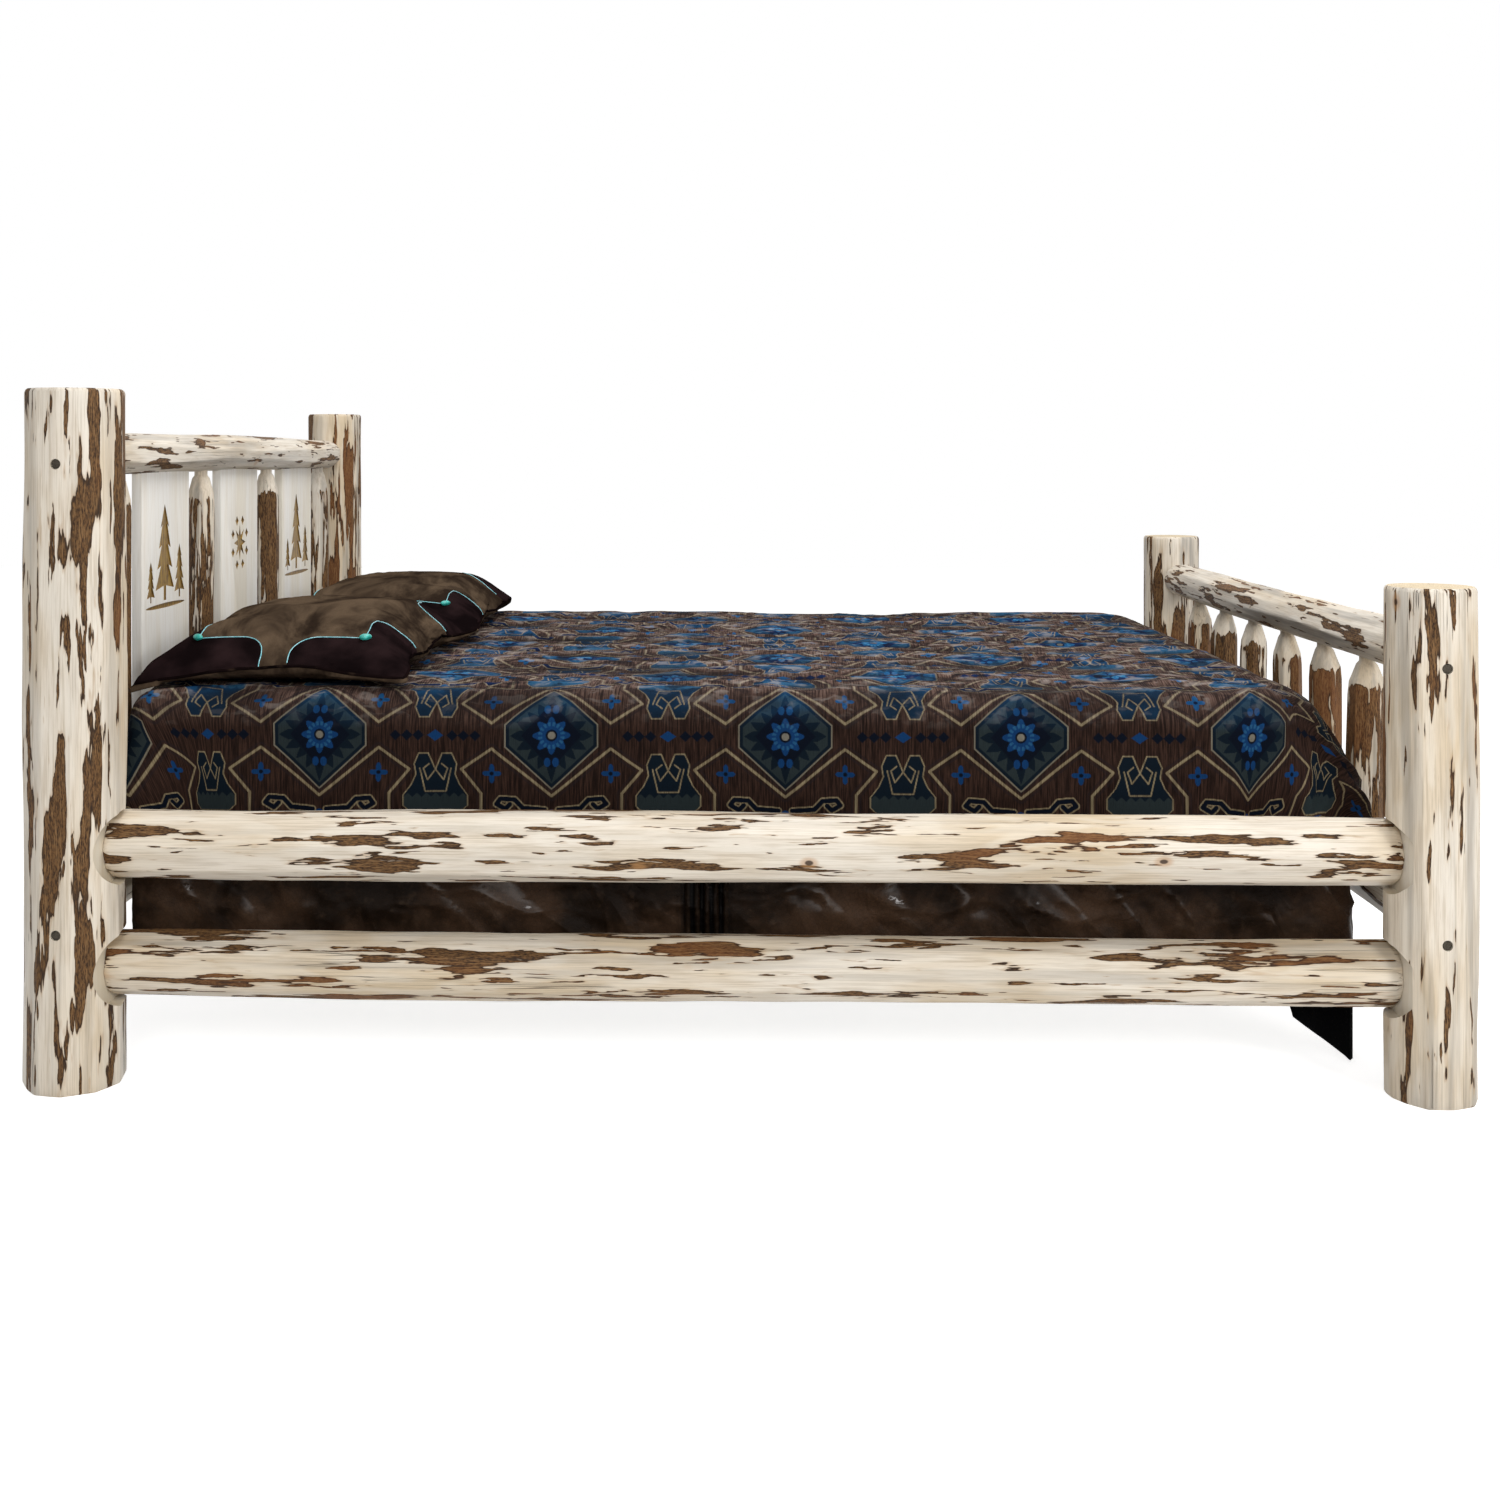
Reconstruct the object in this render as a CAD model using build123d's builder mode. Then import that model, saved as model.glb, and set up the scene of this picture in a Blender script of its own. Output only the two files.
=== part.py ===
"""A queen-size bed of hand-hewn logs, dressed with a box spring, mattress, bedspread, skirt and two pillows.

Frame: origin on the floor under the middle of the bed, +X from the head to the foot, +Z up. The near
side is -Y. Every log is drawn with flat facets, as a drawknife leaves them, and the logs join by round
tenons in blind mortises.
"""

from build123d import *
from math import cos, pi, sin
import os

os.makedirs("parts", exist_ok=True)

# ---------------------------------------------------------------- driving dimensions, millimetres
post_spacing_x = 2260  # head post axis to foot post axis
post_spacing_y = 1740  # near post axis to far post axis
head_post_height = 1165
foot_post_height = 838
head_near_radius = 82
head_far_radius = 71
foot_near_radius = 73
foot_far_radius = 72

top_ease = 7  # the cut ends of the posts are rounded over by this much

head_rail_height = 1056  # axis of the headboard's top rail
head_rail_radius = 38
foot_rail_height = 727
foot_rail_radius = 42
low_rail_height = 282  # axis of both bottom rails
low_rail_radius = 36
end_tenon_radius = 27
end_tenon_depth = 62  # how far an end rail's tenon reaches past the post's surface
end_neck = 28  # length of the cone between a rail's body and its tenon

side_upper_height = 393
side_upper_radius = 58
side_lower_height = 190
side_lower_radius = 55
side_ease = 13  # length of the eased edge at a side rail's ends
side_inset = 34  # side rails lie this far inside the line of the posts
seat_share = 0.67  # the flat seat of a side rail stands this share of the post's radius off its axis
housing_radius = 62  # round end of the flat seat
side_tenon_radius = 22
side_tenon_length = 52

head_spindle_pitch = 460
head_spindle_count = 4
head_spindle_radius = 27
foot_spindle_pitch = 232
foot_spindle_count = 6
foot_spindle_radius = 30
spindle_tenon_radius = 13
spindle_tenon_length = 26  # reach of a spindle's tenon past the rail's surface
spindle_point = 62  # length of the sharpened end
spindle_stand_off = 2.5  # the point stops this far from the rail's surface

panel_count = 3
panel_width = 260
panel_thickness = 19
groove_depth = 14

ledger_width = 38
ledger_height = 38
ledger_drop = 30  # underside of the ledger below the lower rail's axis
ledger_length = 1860
ledger_flat = 46  # flat on the lower rail's inner side, off its axis
slat_count = 5
slat_width = 89
slat_thickness = 19
slat_margin = 70  # middle of the first and the last slat from the ledger's ends
slat_end_gap = 4  # the slats stop just short of the logs
slat_shift = 40  # the slats and ledgers sit this much nearer the head than the middle of the rails
board_ease = 2  # chamfer on the sawn boards' long edges
panel_ease = 1.5
leg_width = 60
leg_thickness = 38
leg_count = 3

mattress_length = 2032
mattress_width = 1524
mattress_height = 230
box_spring_height = 190
bed_corner_radius = 55
soft_edge = 22  # rounding of the mattress's and the box spring's edges
head_clearance = 98  # head post axis to the mattress
skirt_thickness = 4
skirt_stand_off = 36  # how far the foot drop hangs clear of the box spring
skirt_tail_height = 28
skirt_tail_length = 120
spread_thickness = 9
spread_flare = 72  # the tucked foot end of the bedspread bulges out this much at its hem
spread_hem = 12  # hem above the mattress's underside

pillow_length = 745  # along the width of the bed
pillow_width = 492
pillow_height = 118
pillow_rim = 30  # thickness at the seam
pillow_corner = 0.12  # cut off each corner, as a share of the width
pillow_gap = 12  # between the two pillows
pillow_head_gap = 46  # head post axis to the pillow's seam

bolt_radius = 5
bolt_head_radius = 8.5
bolt_head_height = 6.5
washer_radius = 13
washer_thickness = 2.5
counterbore_radius = 15
counterbore_share = 0.80  # floor of the counterbore, as a share of the post's radius
nut_radius = 8
nut_length = 34
nut_reach = 60  # barrel nut's axis behind the rail's shoulder
bolt_past_nut = 12
lag_radius = 4
lag_head_radius = 8
lag_head_height = 5
lag_sink = 9  # depth of the lag screw's head below the post's surface
lag_bite = 44  # lag screw's length inside the tenon
lag_drop = 17  # lag screw below the rail's axis
screw_radius = 2.25
screw_head_radius = 4.5
screw_head_height = 3
ledger_screw_count = 6
ledger_screw_bite = 32
slat_screw_bite = 26
slat_screw_gap = 44  # across the slat, between the two screws at each end

joint_clearance = 0.2  # radial, and at the bottom of every mortise
slide_clearance = 0.3  # panels in their grooves, soft goods on what carries them
bolt_clearance = 0.6
log_flats = 12
rail_flats = 12
spindle_flats = 8
bolt_sides = 8  # shanks, nuts and washers are drawn many-sided, and so are the holes they fill
screw_sides = 6

# ---------------------------------------------------------------- places worked out from them
# The origin is the middle of the posts' reach, so the box of the bed is centred on it.
head_reach = max(head_near_radius, head_far_radius)
foot_reach = max(foot_near_radius, foot_far_radius)
near_reach = max(head_near_radius, foot_near_radius)
far_reach = max(head_far_radius, foot_far_radius)
head_x = -(post_spacing_x + foot_reach - head_reach) / 2
foot_x = head_x + post_spacing_x
near_y = -(post_spacing_y + far_reach - near_reach) / 2
far_y = near_y + post_spacing_y
mid_y = (near_y + far_y) / 2
rail_span_y = post_spacing_y / 2 - side_inset  # side rail axes off the middle line

ledger_low = side_lower_height - ledger_drop
ledger_top = ledger_low + ledger_height
box_low = ledger_top + slat_thickness
box_top = box_low + box_spring_height
deck_top = box_top + skirt_thickness
mattress_top = deck_top + mattress_height
spread_top = mattress_top + slide_clearance + spread_thickness
mattress_head = head_x + head_clearance
mattress_x = mattress_head + mattress_length / 2
mattress_foot = mattress_head + mattress_length


def save(piece, name):
    """Labels a finished piece and writes its STEP file."""
    piece.label = name
    export_step(piece, f"parts/{name}.step")


# ---------------------------------------------------------------- shapes that the pieces share
def hewn_outline(radius, flats, seed):
    """Corners of a log's section. Corners on the axes keep the full radius, the rest wander a little."""
    corners = []
    for i in range(flats):
        on_axis = i % (flats // 4) == 0
        wander = 0 if on_axis else 0.2 * sin(2.4 * i + seed)
        shave = 0 if on_axis else 0.018 + 0.018 * sin(3.7 * i + 1.9 * seed)
        angle = 2 * pi * (i + wander) / flats
        corners.append((radius * (1 - shave) * cos(angle), radius * (1 - shave) * sin(angle)))
    return corners


def shoulder_girth(tenon_radius, radius, flats):
    """Share of a log's radius at which its hewn section still stands outside its round tenon."""
    return tenon_radius / (radius * cos(pi / flats)) * 1.06


def hew(axis, radius, flats, seed, girths, crook=0):
    """Lofts a log along the plane's normal, through parallel sections, so every facet is flat.

    girths lists (distance, share of the radius). crook bows the log sideways, in millimetres.
    """
    outline = hewn_outline(radius, flats, seed)
    reach = girths[-1][0]
    sections = []
    for distance, girth in girths:
        bow = crook * sin(pi * distance / reach)
        with BuildSketch(axis.offset(distance)) as section:
            with Locations((bow * cos(seed), bow * sin(seed))):
                Polygon(*[(x * girth, y * girth) for x, y in outline], align=None)
        sections.append(section.sketch)
    loft(sections, ruled=True)


def round_bar(plane, radius, length, mode=Mode.ADD, sides=0):
    """Adds or cuts a round bar that starts on the plane, or one with that many sides."""
    with BuildSketch(plane) as section:
        if sides:
            RegularPolygon(radius, sides)
        else:
            Circle(radius)
    extrude(section.sketch, amount=length, mode=mode)


def block(plane, width, depth, height, mode=Mode.ADD):
    """Adds or cuts a block that stands on the plane, centred on its origin."""
    with BuildSketch(plane) as base:
        Rectangle(width, depth)
    extrude(base.sketch, amount=height, mode=mode)


def along_x(x, y, z, way=1):
    """A plane across X, whose normal points along way."""
    return Plane(origin=(x, y, z), x_dir=(0, way, 0), z_dir=(way, 0, 0))


def along_y(x, y, z, way=1):
    """A plane across Y, whose normal points along way."""
    return Plane(origin=(x, y, z), x_dir=(-way, 0, 0), z_dir=(0, way, 0))


def along_z(x, y, z, way=1):
    """A level plane, whose normal points up or down."""
    return Plane(origin=(x, y, z), x_dir=(1, 0, 0), z_dir=(0, 0, way))


def spread_evenly(count, pitch):
    """Places of count things, pitch apart, centred on zero."""
    return [pitch * (i - (count - 1) / 2) for i in range(count)]


# ---------------------------------------------------------------- posts
# name: x, y, radius, height, way to the bed's middle along X, the same along Y, seed of its facets
posts = {
    "head_post_near": (head_x, near_y, head_near_radius, head_post_height, 1, 1, 0.4),
    "head_post_far": (head_x, far_y, head_far_radius, head_post_height, 1, -1, 1.7),
    "foot_post_near": (foot_x, near_y, foot_near_radius, foot_post_height, -1, 1, 2.9),
    "foot_post_far": (foot_x, far_y, foot_far_radius, foot_post_height, -1, -1, 4.1),
}
top_rail_height = {1: head_rail_height, -1: foot_rail_height}
side_rails = {
    "upper": (side_upper_height, side_upper_radius),
    "lower": (side_lower_height, side_lower_radius),
}


def seat_x(x, radius, way):
    """Where a side rail's shoulder meets the post."""
    return x + way * seat_share * radius


def bolt_floor_x(x, radius, way):
    """Floor of a bed bolt's counterbore, on the outer side of the post."""
    return x - way * counterbore_share * radius


def lag_floor_y(y, radius, inboard):
    """Floor of a lag screw's counterbore, on the outer side of the post."""
    return y - inboard * (radius - lag_sink)


for name, (x, y, radius, height, way, inboard, seed) in posts.items():
    with BuildPart() as post:
        girths = [
            (0, 1),
            (height * 0.3, 0.985),
            (height * 0.7, 1),
            (height - top_ease, 0.985),
            (height, 0.985 - top_ease * 0.6 / radius),
        ]
        hew(along_z(x, y, 0), radius, log_flats, seed, girths)

        # Mortises of the two end rails, and the lag screws that hold their tenons.
        for z in (top_rail_height[way], low_rail_height):
            mortise = along_y(x, y + inboard * (radius - end_tenon_depth - joint_clearance), z, inboard)
            round_bar(mortise, end_tenon_radius + joint_clearance, 2 * radius, Mode.SUBTRACT)
            floor = along_y(x, lag_floor_y(y, radius, inboard), z - lag_drop, -inboard)
            round_bar(floor, lag_head_radius + bolt_clearance, radius, Mode.SUBTRACT)
            through = along_y(x, lag_floor_y(y, radius, inboard), z - lag_drop, inboard)
            to_mortise = 2 * radius - end_tenon_depth
            round_bar(through, lag_radius + joint_clearance, to_mortise, Mode.SUBTRACT, bolt_sides)

        # Flat seats of the two side rails: round on the outer side, open on the inner one.
        for z, _ in side_rails.values():
            seat = along_x(seat_x(x, radius, way), y, z, way)
            with BuildSketch(seat) as housing:
                Circle(housing_radius)
                with Locations((way * inboard * radius, 0)):
                    Rectangle(2 * radius, 2 * housing_radius)
            extrude(housing.sketch, amount=radius, mode=Mode.SUBTRACT)
            rail_y = y + inboard * side_inset
            mortise = along_x(seat_x(x, radius, way), rail_y, z, -way)
            depth = side_tenon_length + joint_clearance
            round_bar(mortise, side_tenon_radius + joint_clearance, depth, Mode.SUBTRACT)
            floor = along_x(bolt_floor_x(x, radius, way), rail_y, z, -way)
            round_bar(floor, counterbore_radius, radius, Mode.SUBTRACT)
            through = along_x(bolt_floor_x(x, radius, way), rail_y, z, way)
            round_bar(through, bolt_radius + bolt_clearance, radius, Mode.SUBTRACT, bolt_sides)
    save(post.part, name)

# ---------------------------------------------------------------- rails of the headboard and the footboard
# name: x, near post radius, far post radius, height of the axis, radius, crook, seed
end_rails = {
    "head_top_rail": (head_x, head_near_radius, head_far_radius, head_rail_height, head_rail_radius, 2, 0.9),
    "head_bottom_rail": (head_x, head_near_radius, head_far_radius, low_rail_height, low_rail_radius, 1, 2.2),
    "foot_top_rail": (foot_x, foot_near_radius, foot_far_radius, foot_rail_height, foot_rail_radius, 2, 3.3),
    "foot_bottom_rail": (foot_x, foot_near_radius, foot_far_radius, low_rail_height, low_rail_radius, 1, 5.2),
}
head_spindles = spread_evenly(head_spindle_count, head_spindle_pitch)
foot_spindles = spread_evenly(foot_spindle_count, foot_spindle_pitch)
head_panels = spread_evenly(panel_count, head_spindle_pitch)


def tenon_floor(rail_radius, up):
    """Bottom of a spindle's mortise, off the rail's axis on the side that faces the spindle."""
    return up * (rail_radius - spindle_tenon_length)


def groove_floor(rail_radius, up):
    """Bottom of a panel's groove, off the rail's axis on the side that faces the panel."""
    return up * (rail_radius - groove_depth)


for name, (x, near_radius, far_radius, z, radius, crook, seed) in end_rails.items():
    up = 1 if z == low_rail_height else -1
    body_start = near_y + near_radius
    body_length = post_spacing_y - near_radius - far_radius
    with BuildPart() as rail:
        neck = shoulder_girth(end_tenon_radius, radius, rail_flats)
        girths = [
            (0, neck),
            (end_neck, 0.95),
            (body_length * 0.45, 1),
            (body_length - end_neck, 0.95),
            (body_length, neck),
        ]
        hew(along_y(x, body_start, z), radius, rail_flats, seed, girths, crook)
        tenon_start = along_y(x, near_y + near_radius - end_tenon_depth, z)
        round_bar(tenon_start, end_tenon_radius, body_length + 2 * end_tenon_depth)

        at_head = x == head_x
        for y in head_spindles if at_head else foot_spindles:
            mortise = along_z(x, mid_y + y, z + tenon_floor(radius, up), up)
            round_bar(mortise, spindle_tenon_radius + joint_clearance, 2 * radius, Mode.SUBTRACT)
        for y in head_panels if at_head else []:
            groove = along_z(x, mid_y + y, z + groove_floor(radius, up), up)
            wide = panel_width + 2 * slide_clearance
            thick = panel_thickness + 2 * slide_clearance
            block(groove, thick, wide, 2 * radius, Mode.SUBTRACT)

        # Pilot holes for the lag screws, in the ends of the tenons.
        for post_y, post_radius, inboard in ((near_y, near_radius, 1), (far_y, far_radius, -1)):
            end_y = post_y + inboard * (post_radius - end_tenon_depth)
            pilot = along_y(x, end_y, z - lag_drop, inboard)
            round_bar(pilot, lag_radius, lag_bite, Mode.SUBTRACT, bolt_sides)
    save(rail.part, name)

# ---------------------------------------------------------------- spindles, sharpened like pencils at both ends
def make_spindle(name, x, y, low_z, low_radius, top_z, top_radius, radius, seed):
    """One upright between two rails: a faceted body, two long points and two round tenons."""
    low_shoulder = low_z + low_radius + spindle_stand_off
    height = top_z - top_radius - spindle_stand_off - low_shoulder
    tip = shoulder_girth(spindle_tenon_radius, radius, spindle_flats)
    with BuildPart() as spindle:
        girths = [
            (0, tip),
            (spindle_point, 0.94),
            (height * 0.45, 1),
            (height - spindle_point, 0.96),
            (height, tip),
        ]
        hew(along_z(x, y, low_shoulder), radius, spindle_flats, seed, girths)
        reach = spindle_stand_off + spindle_tenon_length - joint_clearance
        round_bar(along_z(x, y, low_shoulder - reach), spindle_tenon_radius, height + 2 * reach)
    save(spindle.part, name)


for i, y in enumerate(head_spindles):
    make_spindle(
        f"head_spindle_{i + 1}", head_x, mid_y + y, low_rail_height, low_rail_radius,
        head_rail_height, head_rail_radius, head_spindle_radius, 0.8 + 1.3 * i,
    )
for i, y in enumerate(foot_spindles):
    make_spindle(
        f"foot_spindle_{i + 1}", foot_x, mid_y + y, low_rail_height, low_rail_radius,
        foot_rail_height, foot_rail_radius, foot_spindle_radius, 2.1 + 1.1 * i,
    )

# ---------------------------------------------------------------- headboard panels, in the rails' grooves
panel_low = low_rail_height + groove_floor(low_rail_radius, 1) + slide_clearance
panel_high = head_rail_height + groove_floor(head_rail_radius, -1) - slide_clearance
for i, y in enumerate(head_panels):
    with BuildPart() as panel:
        block(along_z(head_x, mid_y + y, panel_low), panel_thickness, panel_width, panel_high - panel_low)
        upright = panel.edges().filter_by(Axis.Z)
        chamfer(upright, length=panel_ease)
    save(panel.part, f"head_panel_{i + 1}")

# ---------------------------------------------------------------- side rails
# side: y of the axis, way to the middle line, radius of the head post, radius of the foot post
sides = {
    "near": (mid_y - rail_span_y, 1, head_near_radius, foot_near_radius),
    "far": (mid_y + rail_span_y, -1, head_far_radius, foot_far_radius),
}
ledger_x = (head_x + foot_x) / 2 - slat_shift
slat_pitch = (ledger_length - 2 * slat_margin) / (slat_count - 1)
slat_places = [ledger_x + x for x in spread_evenly(slat_count, slat_pitch)]
ledger_screw_pitch = ledger_length / ledger_screw_count
ledger_screws = [ledger_x + x for x in spread_evenly(ledger_screw_count, ledger_screw_pitch)]


def shoulders(head_radius, foot_radius):
    """X of a side rail's two shoulders, from its seats in the posts."""
    return seat_x(head_x, head_radius, 1), seat_x(foot_x, foot_radius, -1)


for side, (y, inboard, head_radius, foot_radius) in sides.items():
    head_end, foot_end = shoulders(head_radius, foot_radius)
    length = foot_end - head_end
    for level, (z, radius) in side_rails.items():
        with BuildPart() as rail:
            girths = [
                (0, 0.90),
                (side_ease, 0.95),
                (length * 0.45, 1),
                (length - side_ease, 0.95),
                (length, 0.88),
            ]
            seed = 1.1 * inboard + z / 90
            hew(along_x(head_end, y, z), radius, rail_flats, seed, girths, 2)
            tenon = along_x(head_end - side_tenon_length, y, z)
            round_bar(tenon, side_tenon_radius, length + 2 * side_tenon_length)

            # The bolts' holes, and the cross holes that take their barrel nuts from the inner side.
            hole_depth = side_tenon_length + nut_reach + bolt_past_nut + joint_clearance
            for end, into in ((head_end, 1), (foot_end, -1)):
                bolt_hole = along_x(end - into * side_tenon_length, y, z, into)
                round_bar(bolt_hole, bolt_radius + bolt_clearance, hole_depth, Mode.SUBTRACT, bolt_sides)
                cross = along_y(end + into * nut_reach, y - inboard * nut_length / 2, z, inboard)
                round_bar(cross, nut_radius + joint_clearance, 2 * radius, Mode.SUBTRACT, bolt_sides)

            if level == "lower":
                flat_z = ledger_low - slide_clearance
                flat_plane = Plane(origin=(ledger_x, y + inboard * (ledger_flat + radius), flat_z))
                block(flat_plane, ledger_length + 2 * slide_clearance, 2 * radius, 2 * radius, Mode.SUBTRACT)
                for x in ledger_screws:
                    pilot = along_y(x, y + inboard * ledger_flat, ledger_low + ledger_height / 2, -inboard)
                    round_bar(pilot, screw_radius, ledger_screw_bite, Mode.SUBTRACT, screw_sides)
        save(rail.part, f"side_rail_{side}_{level}")

# ---------------------------------------------------------------- ledgers, slats and centre legs
def screw_hole(plane, depth):
    """Drills through a board from the plane, and sinks the screw's head flush with it."""
    round_bar(plane, screw_radius + joint_clearance, depth, Mode.SUBTRACT, screw_sides)
    sunk = screw_head_height + joint_clearance
    round_bar(plane, screw_head_radius + joint_clearance, sunk, Mode.SUBTRACT, screw_sides)


for side, (y, inboard, _, _) in sides.items():
    outer_y = y + inboard * ledger_flat
    with BuildPart() as ledger:
        middle = along_z(ledger_x, outer_y + inboard * ledger_width / 2, ledger_low)
        block(middle, ledger_length, ledger_width, ledger_height)
        for x in ledger_screws:
            hole = along_y(x, outer_y + inboard * ledger_width, ledger_low + ledger_height / 2, -inboard)
            screw_hole(hole, ledger_width)
        for x in slat_places:
            for across in spread_evenly(2, slat_screw_gap):
                pilot = along_z(x + across, outer_y + inboard * ledger_width / 2, ledger_top, -1)
                round_bar(pilot, screw_radius, slat_screw_bite, Mode.SUBTRACT, screw_sides)
    save(ledger.part, f"ledger_{side}")

slat_half = rail_span_y - ledger_flat - slat_end_gap
slat_screw_y = rail_span_y - ledger_flat - ledger_width / 2
leg_slats = range((slat_count - leg_count) // 2, (slat_count + leg_count) // 2)
for i, x in enumerate(slat_places):
    with BuildPart() as slat:
        block(along_z(x, mid_y, ledger_top), slat_width, 2 * slat_half, slat_thickness)
        chamfer(slat.faces().sort_by(Axis.Z)[-1].edges().filter_by(Axis.Y), length=board_ease)
        screw_places = [(a, w * slat_screw_y) for a in spread_evenly(2, slat_screw_gap) for w in (-1, 1)]
        if i in leg_slats:
            screw_places.append((0, 0))
        for across, y in screw_places:
            screw_hole(along_z(x + across, mid_y + y, box_low, -1), slat_thickness)
    save(slat.part, f"slat_{i + 1}")

for i, slat in enumerate(leg_slats):
    with BuildPart() as leg:
        block(along_z(slat_places[slat], mid_y, 0), leg_thickness, leg_width, ledger_top)
        chamfer(leg.edges().filter_by(Axis.Z), length=board_ease)
        pilot = along_z(slat_places[slat], mid_y, ledger_top, -1)
        round_bar(pilot, screw_radius, slat_screw_bite, Mode.SUBTRACT, screw_sides)
    save(leg.part, f"centre_leg_{i + 1}")


# ---------------------------------------------------------------- fasteners, one node for each kind
def wood_screw(plane, grip, bite):
    """A wood screw with a flat head on the plane and its shank along the plane's normal."""
    round_bar(plane, screw_head_radius, screw_head_height, sides=screw_sides)
    round_bar(plane, screw_radius, grip + bite - joint_clearance, sides=screw_sides)


with BuildPart() as bed_bolts:
    for x, y, radius, _, way, inboard, _ in posts.values():
        shank = seat_x(x, radius, way) + way * (nut_reach + bolt_past_nut)
        face_x = bolt_floor_x(x, radius, way) - way * washer_thickness
        for z, _ in side_rails.values():
            rail_y = y + inboard * side_inset
            round_bar(along_x(face_x, rail_y, z, -way), bolt_head_radius, bolt_head_height, sides=6)
            shank_length = abs(shank - face_x)
            round_bar(along_x(face_x, rail_y, z, way), bolt_radius, shank_length, sides=bolt_sides)
save(bed_bolts.part, "bed_bolts")

with BuildPart() as bolt_washers:
    for x, y, radius, _, way, inboard, _ in posts.values():
        for z, _ in side_rails.values():
            floor = along_x(bolt_floor_x(x, radius, way), y + inboard * side_inset, z, -way)
            round_bar(floor, washer_radius, washer_thickness, sides=2 * bolt_sides)
            hole = bolt_radius + joint_clearance
            round_bar(floor, hole, washer_thickness, Mode.SUBTRACT, bolt_sides)
save(bolt_washers.part, "bolt_washers")

with BuildPart() as barrel_nuts:
    for x, y, radius, _, way, inboard, _ in posts.values():
        nut_x = seat_x(x, radius, way) + way * nut_reach
        for z, _ in side_rails.values():
            rail_y = y + inboard * side_inset
            start = along_y(nut_x, rail_y - inboard * (nut_length / 2 - joint_clearance), z, inboard)
            round_bar(start, nut_radius, nut_length - joint_clearance, sides=bolt_sides)
            thread = along_x(nut_x - 2 * nut_radius, rail_y, z)
            round_bar(thread, bolt_radius + joint_clearance, 4 * nut_radius, Mode.SUBTRACT, bolt_sides)
save(barrel_nuts.part, "barrel_nuts")

with BuildPart() as tenon_lags:
    for x, y, radius, _, way, inboard, _ in posts.values():
        floor_y = lag_floor_y(y, radius, inboard)
        tip_y = y + inboard * (radius - end_tenon_depth + lag_bite)
        for z in (top_rail_height[way] - lag_drop, low_rail_height - lag_drop):
            round_bar(along_y(x, floor_y, z, -inboard), lag_head_radius, lag_head_height, sides=6)
            shank = along_y(x, floor_y, z, inboard)
            shank_length = abs(tip_y - floor_y) - joint_clearance
            round_bar(shank, lag_radius - joint_clearance / 2, shank_length, sides=bolt_sides)
save(tenon_lags.part, "tenon_lags")

with BuildPart() as ledger_fixings:
    for y, inboard, _, _ in sides.values():
        for x in ledger_screws:
            face_y = y + inboard * (ledger_flat + ledger_width - joint_clearance)
            plane = along_y(x, face_y, ledger_low + ledger_height / 2, -inboard)
            wood_screw(plane, ledger_width - joint_clearance, ledger_screw_bite)
save(ledger_fixings.part, "ledger_screws")

with BuildPart() as slat_fixings:
    for x in slat_places:
        for across in spread_evenly(2, slat_screw_gap):
            for way in (-1, 1):
                plane = along_z(x + across, mid_y + way * slat_screw_y, box_low - joint_clearance, -1)
                wood_screw(plane, slat_thickness - joint_clearance, slat_screw_bite)
save(slat_fixings.part, "slat_screws")

with BuildPart() as leg_fixings:
    for slat in leg_slats:
        plane = along_z(slat_places[slat], mid_y, box_low - joint_clearance, -1)
        wood_screw(plane, slat_thickness - joint_clearance, slat_screw_bite)
save(leg_fixings.part, "leg_screws")


# ---------------------------------------------------------------- box spring, skirt, mattress and bedspread
def bedding(low, height):
    """A box with rounded corners and soft edges, on the footprint of the mattress."""
    with BuildSketch(Plane(origin=(mattress_x, mid_y, low))) as footprint:
        RectangleRounded(mattress_length, mattress_width, bed_corner_radius)
    extrude(footprint.sketch, amount=height)


with BuildPart() as box_spring:
    bedding(box_low, box_spring_height)
    chamfer(box_spring.faces().filter_by(Axis.Z).edges(), length=soft_edge / 3)
save(box_spring.part, "box_spring")

with BuildPart() as mattress:
    bedding(deck_top, mattress_height)
    chamfer(mattress.faces().filter_by(Axis.Z).edges(), length=soft_edge * 0.6)
save(mattress.part, "mattress")

# The skirt: a deck under the mattress, a drop on each side and at the foot, and a long tail at each
# foot corner that hangs past the ledger's end.
skirt_hem = box_low + slide_clearance
skirt_foot = mattress_foot + skirt_stand_off + skirt_thickness
skirt_length = skirt_foot - mattress_head
skirt_half = mattress_width / 2 + slide_clearance + skirt_thickness
with BuildPart() as skirt:
    middle_x = mattress_head + skirt_length / 2
    block(along_z(middle_x, mid_y, skirt_hem), skirt_length, 2 * skirt_half, deck_top - skirt_hem)
    hollow_x = middle_x - skirt_thickness
    hollow_width = 2 * (skirt_half - skirt_thickness)
    block(along_z(hollow_x, mid_y, 0), skirt_length, hollow_width, box_top, Mode.SUBTRACT)
    for way in (-1, 1):
        outer = along_y(0, mid_y + way * skirt_half, 0, -way)
        inner = mattress_foot + skirt_stand_off - skirt_tail_length
        with BuildSketch(outer) as tail:
            with BuildLine():
                Polyline(
                    (way * skirt_foot, skirt_hem),
                    (way * skirt_foot, skirt_tail_height),
                    (way * (skirt_foot - skirt_tail_length * 0.1), skirt_tail_height + 10),
                    (way * (inner + skirt_tail_length * 0.2), skirt_hem * 0.45),
                    (way * inner, skirt_hem),
                    close=True,
                )
            make_face()
        extrude(tail.sketch, amount=skirt_thickness)
save(skirt.part, "bed_skirt")

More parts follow.
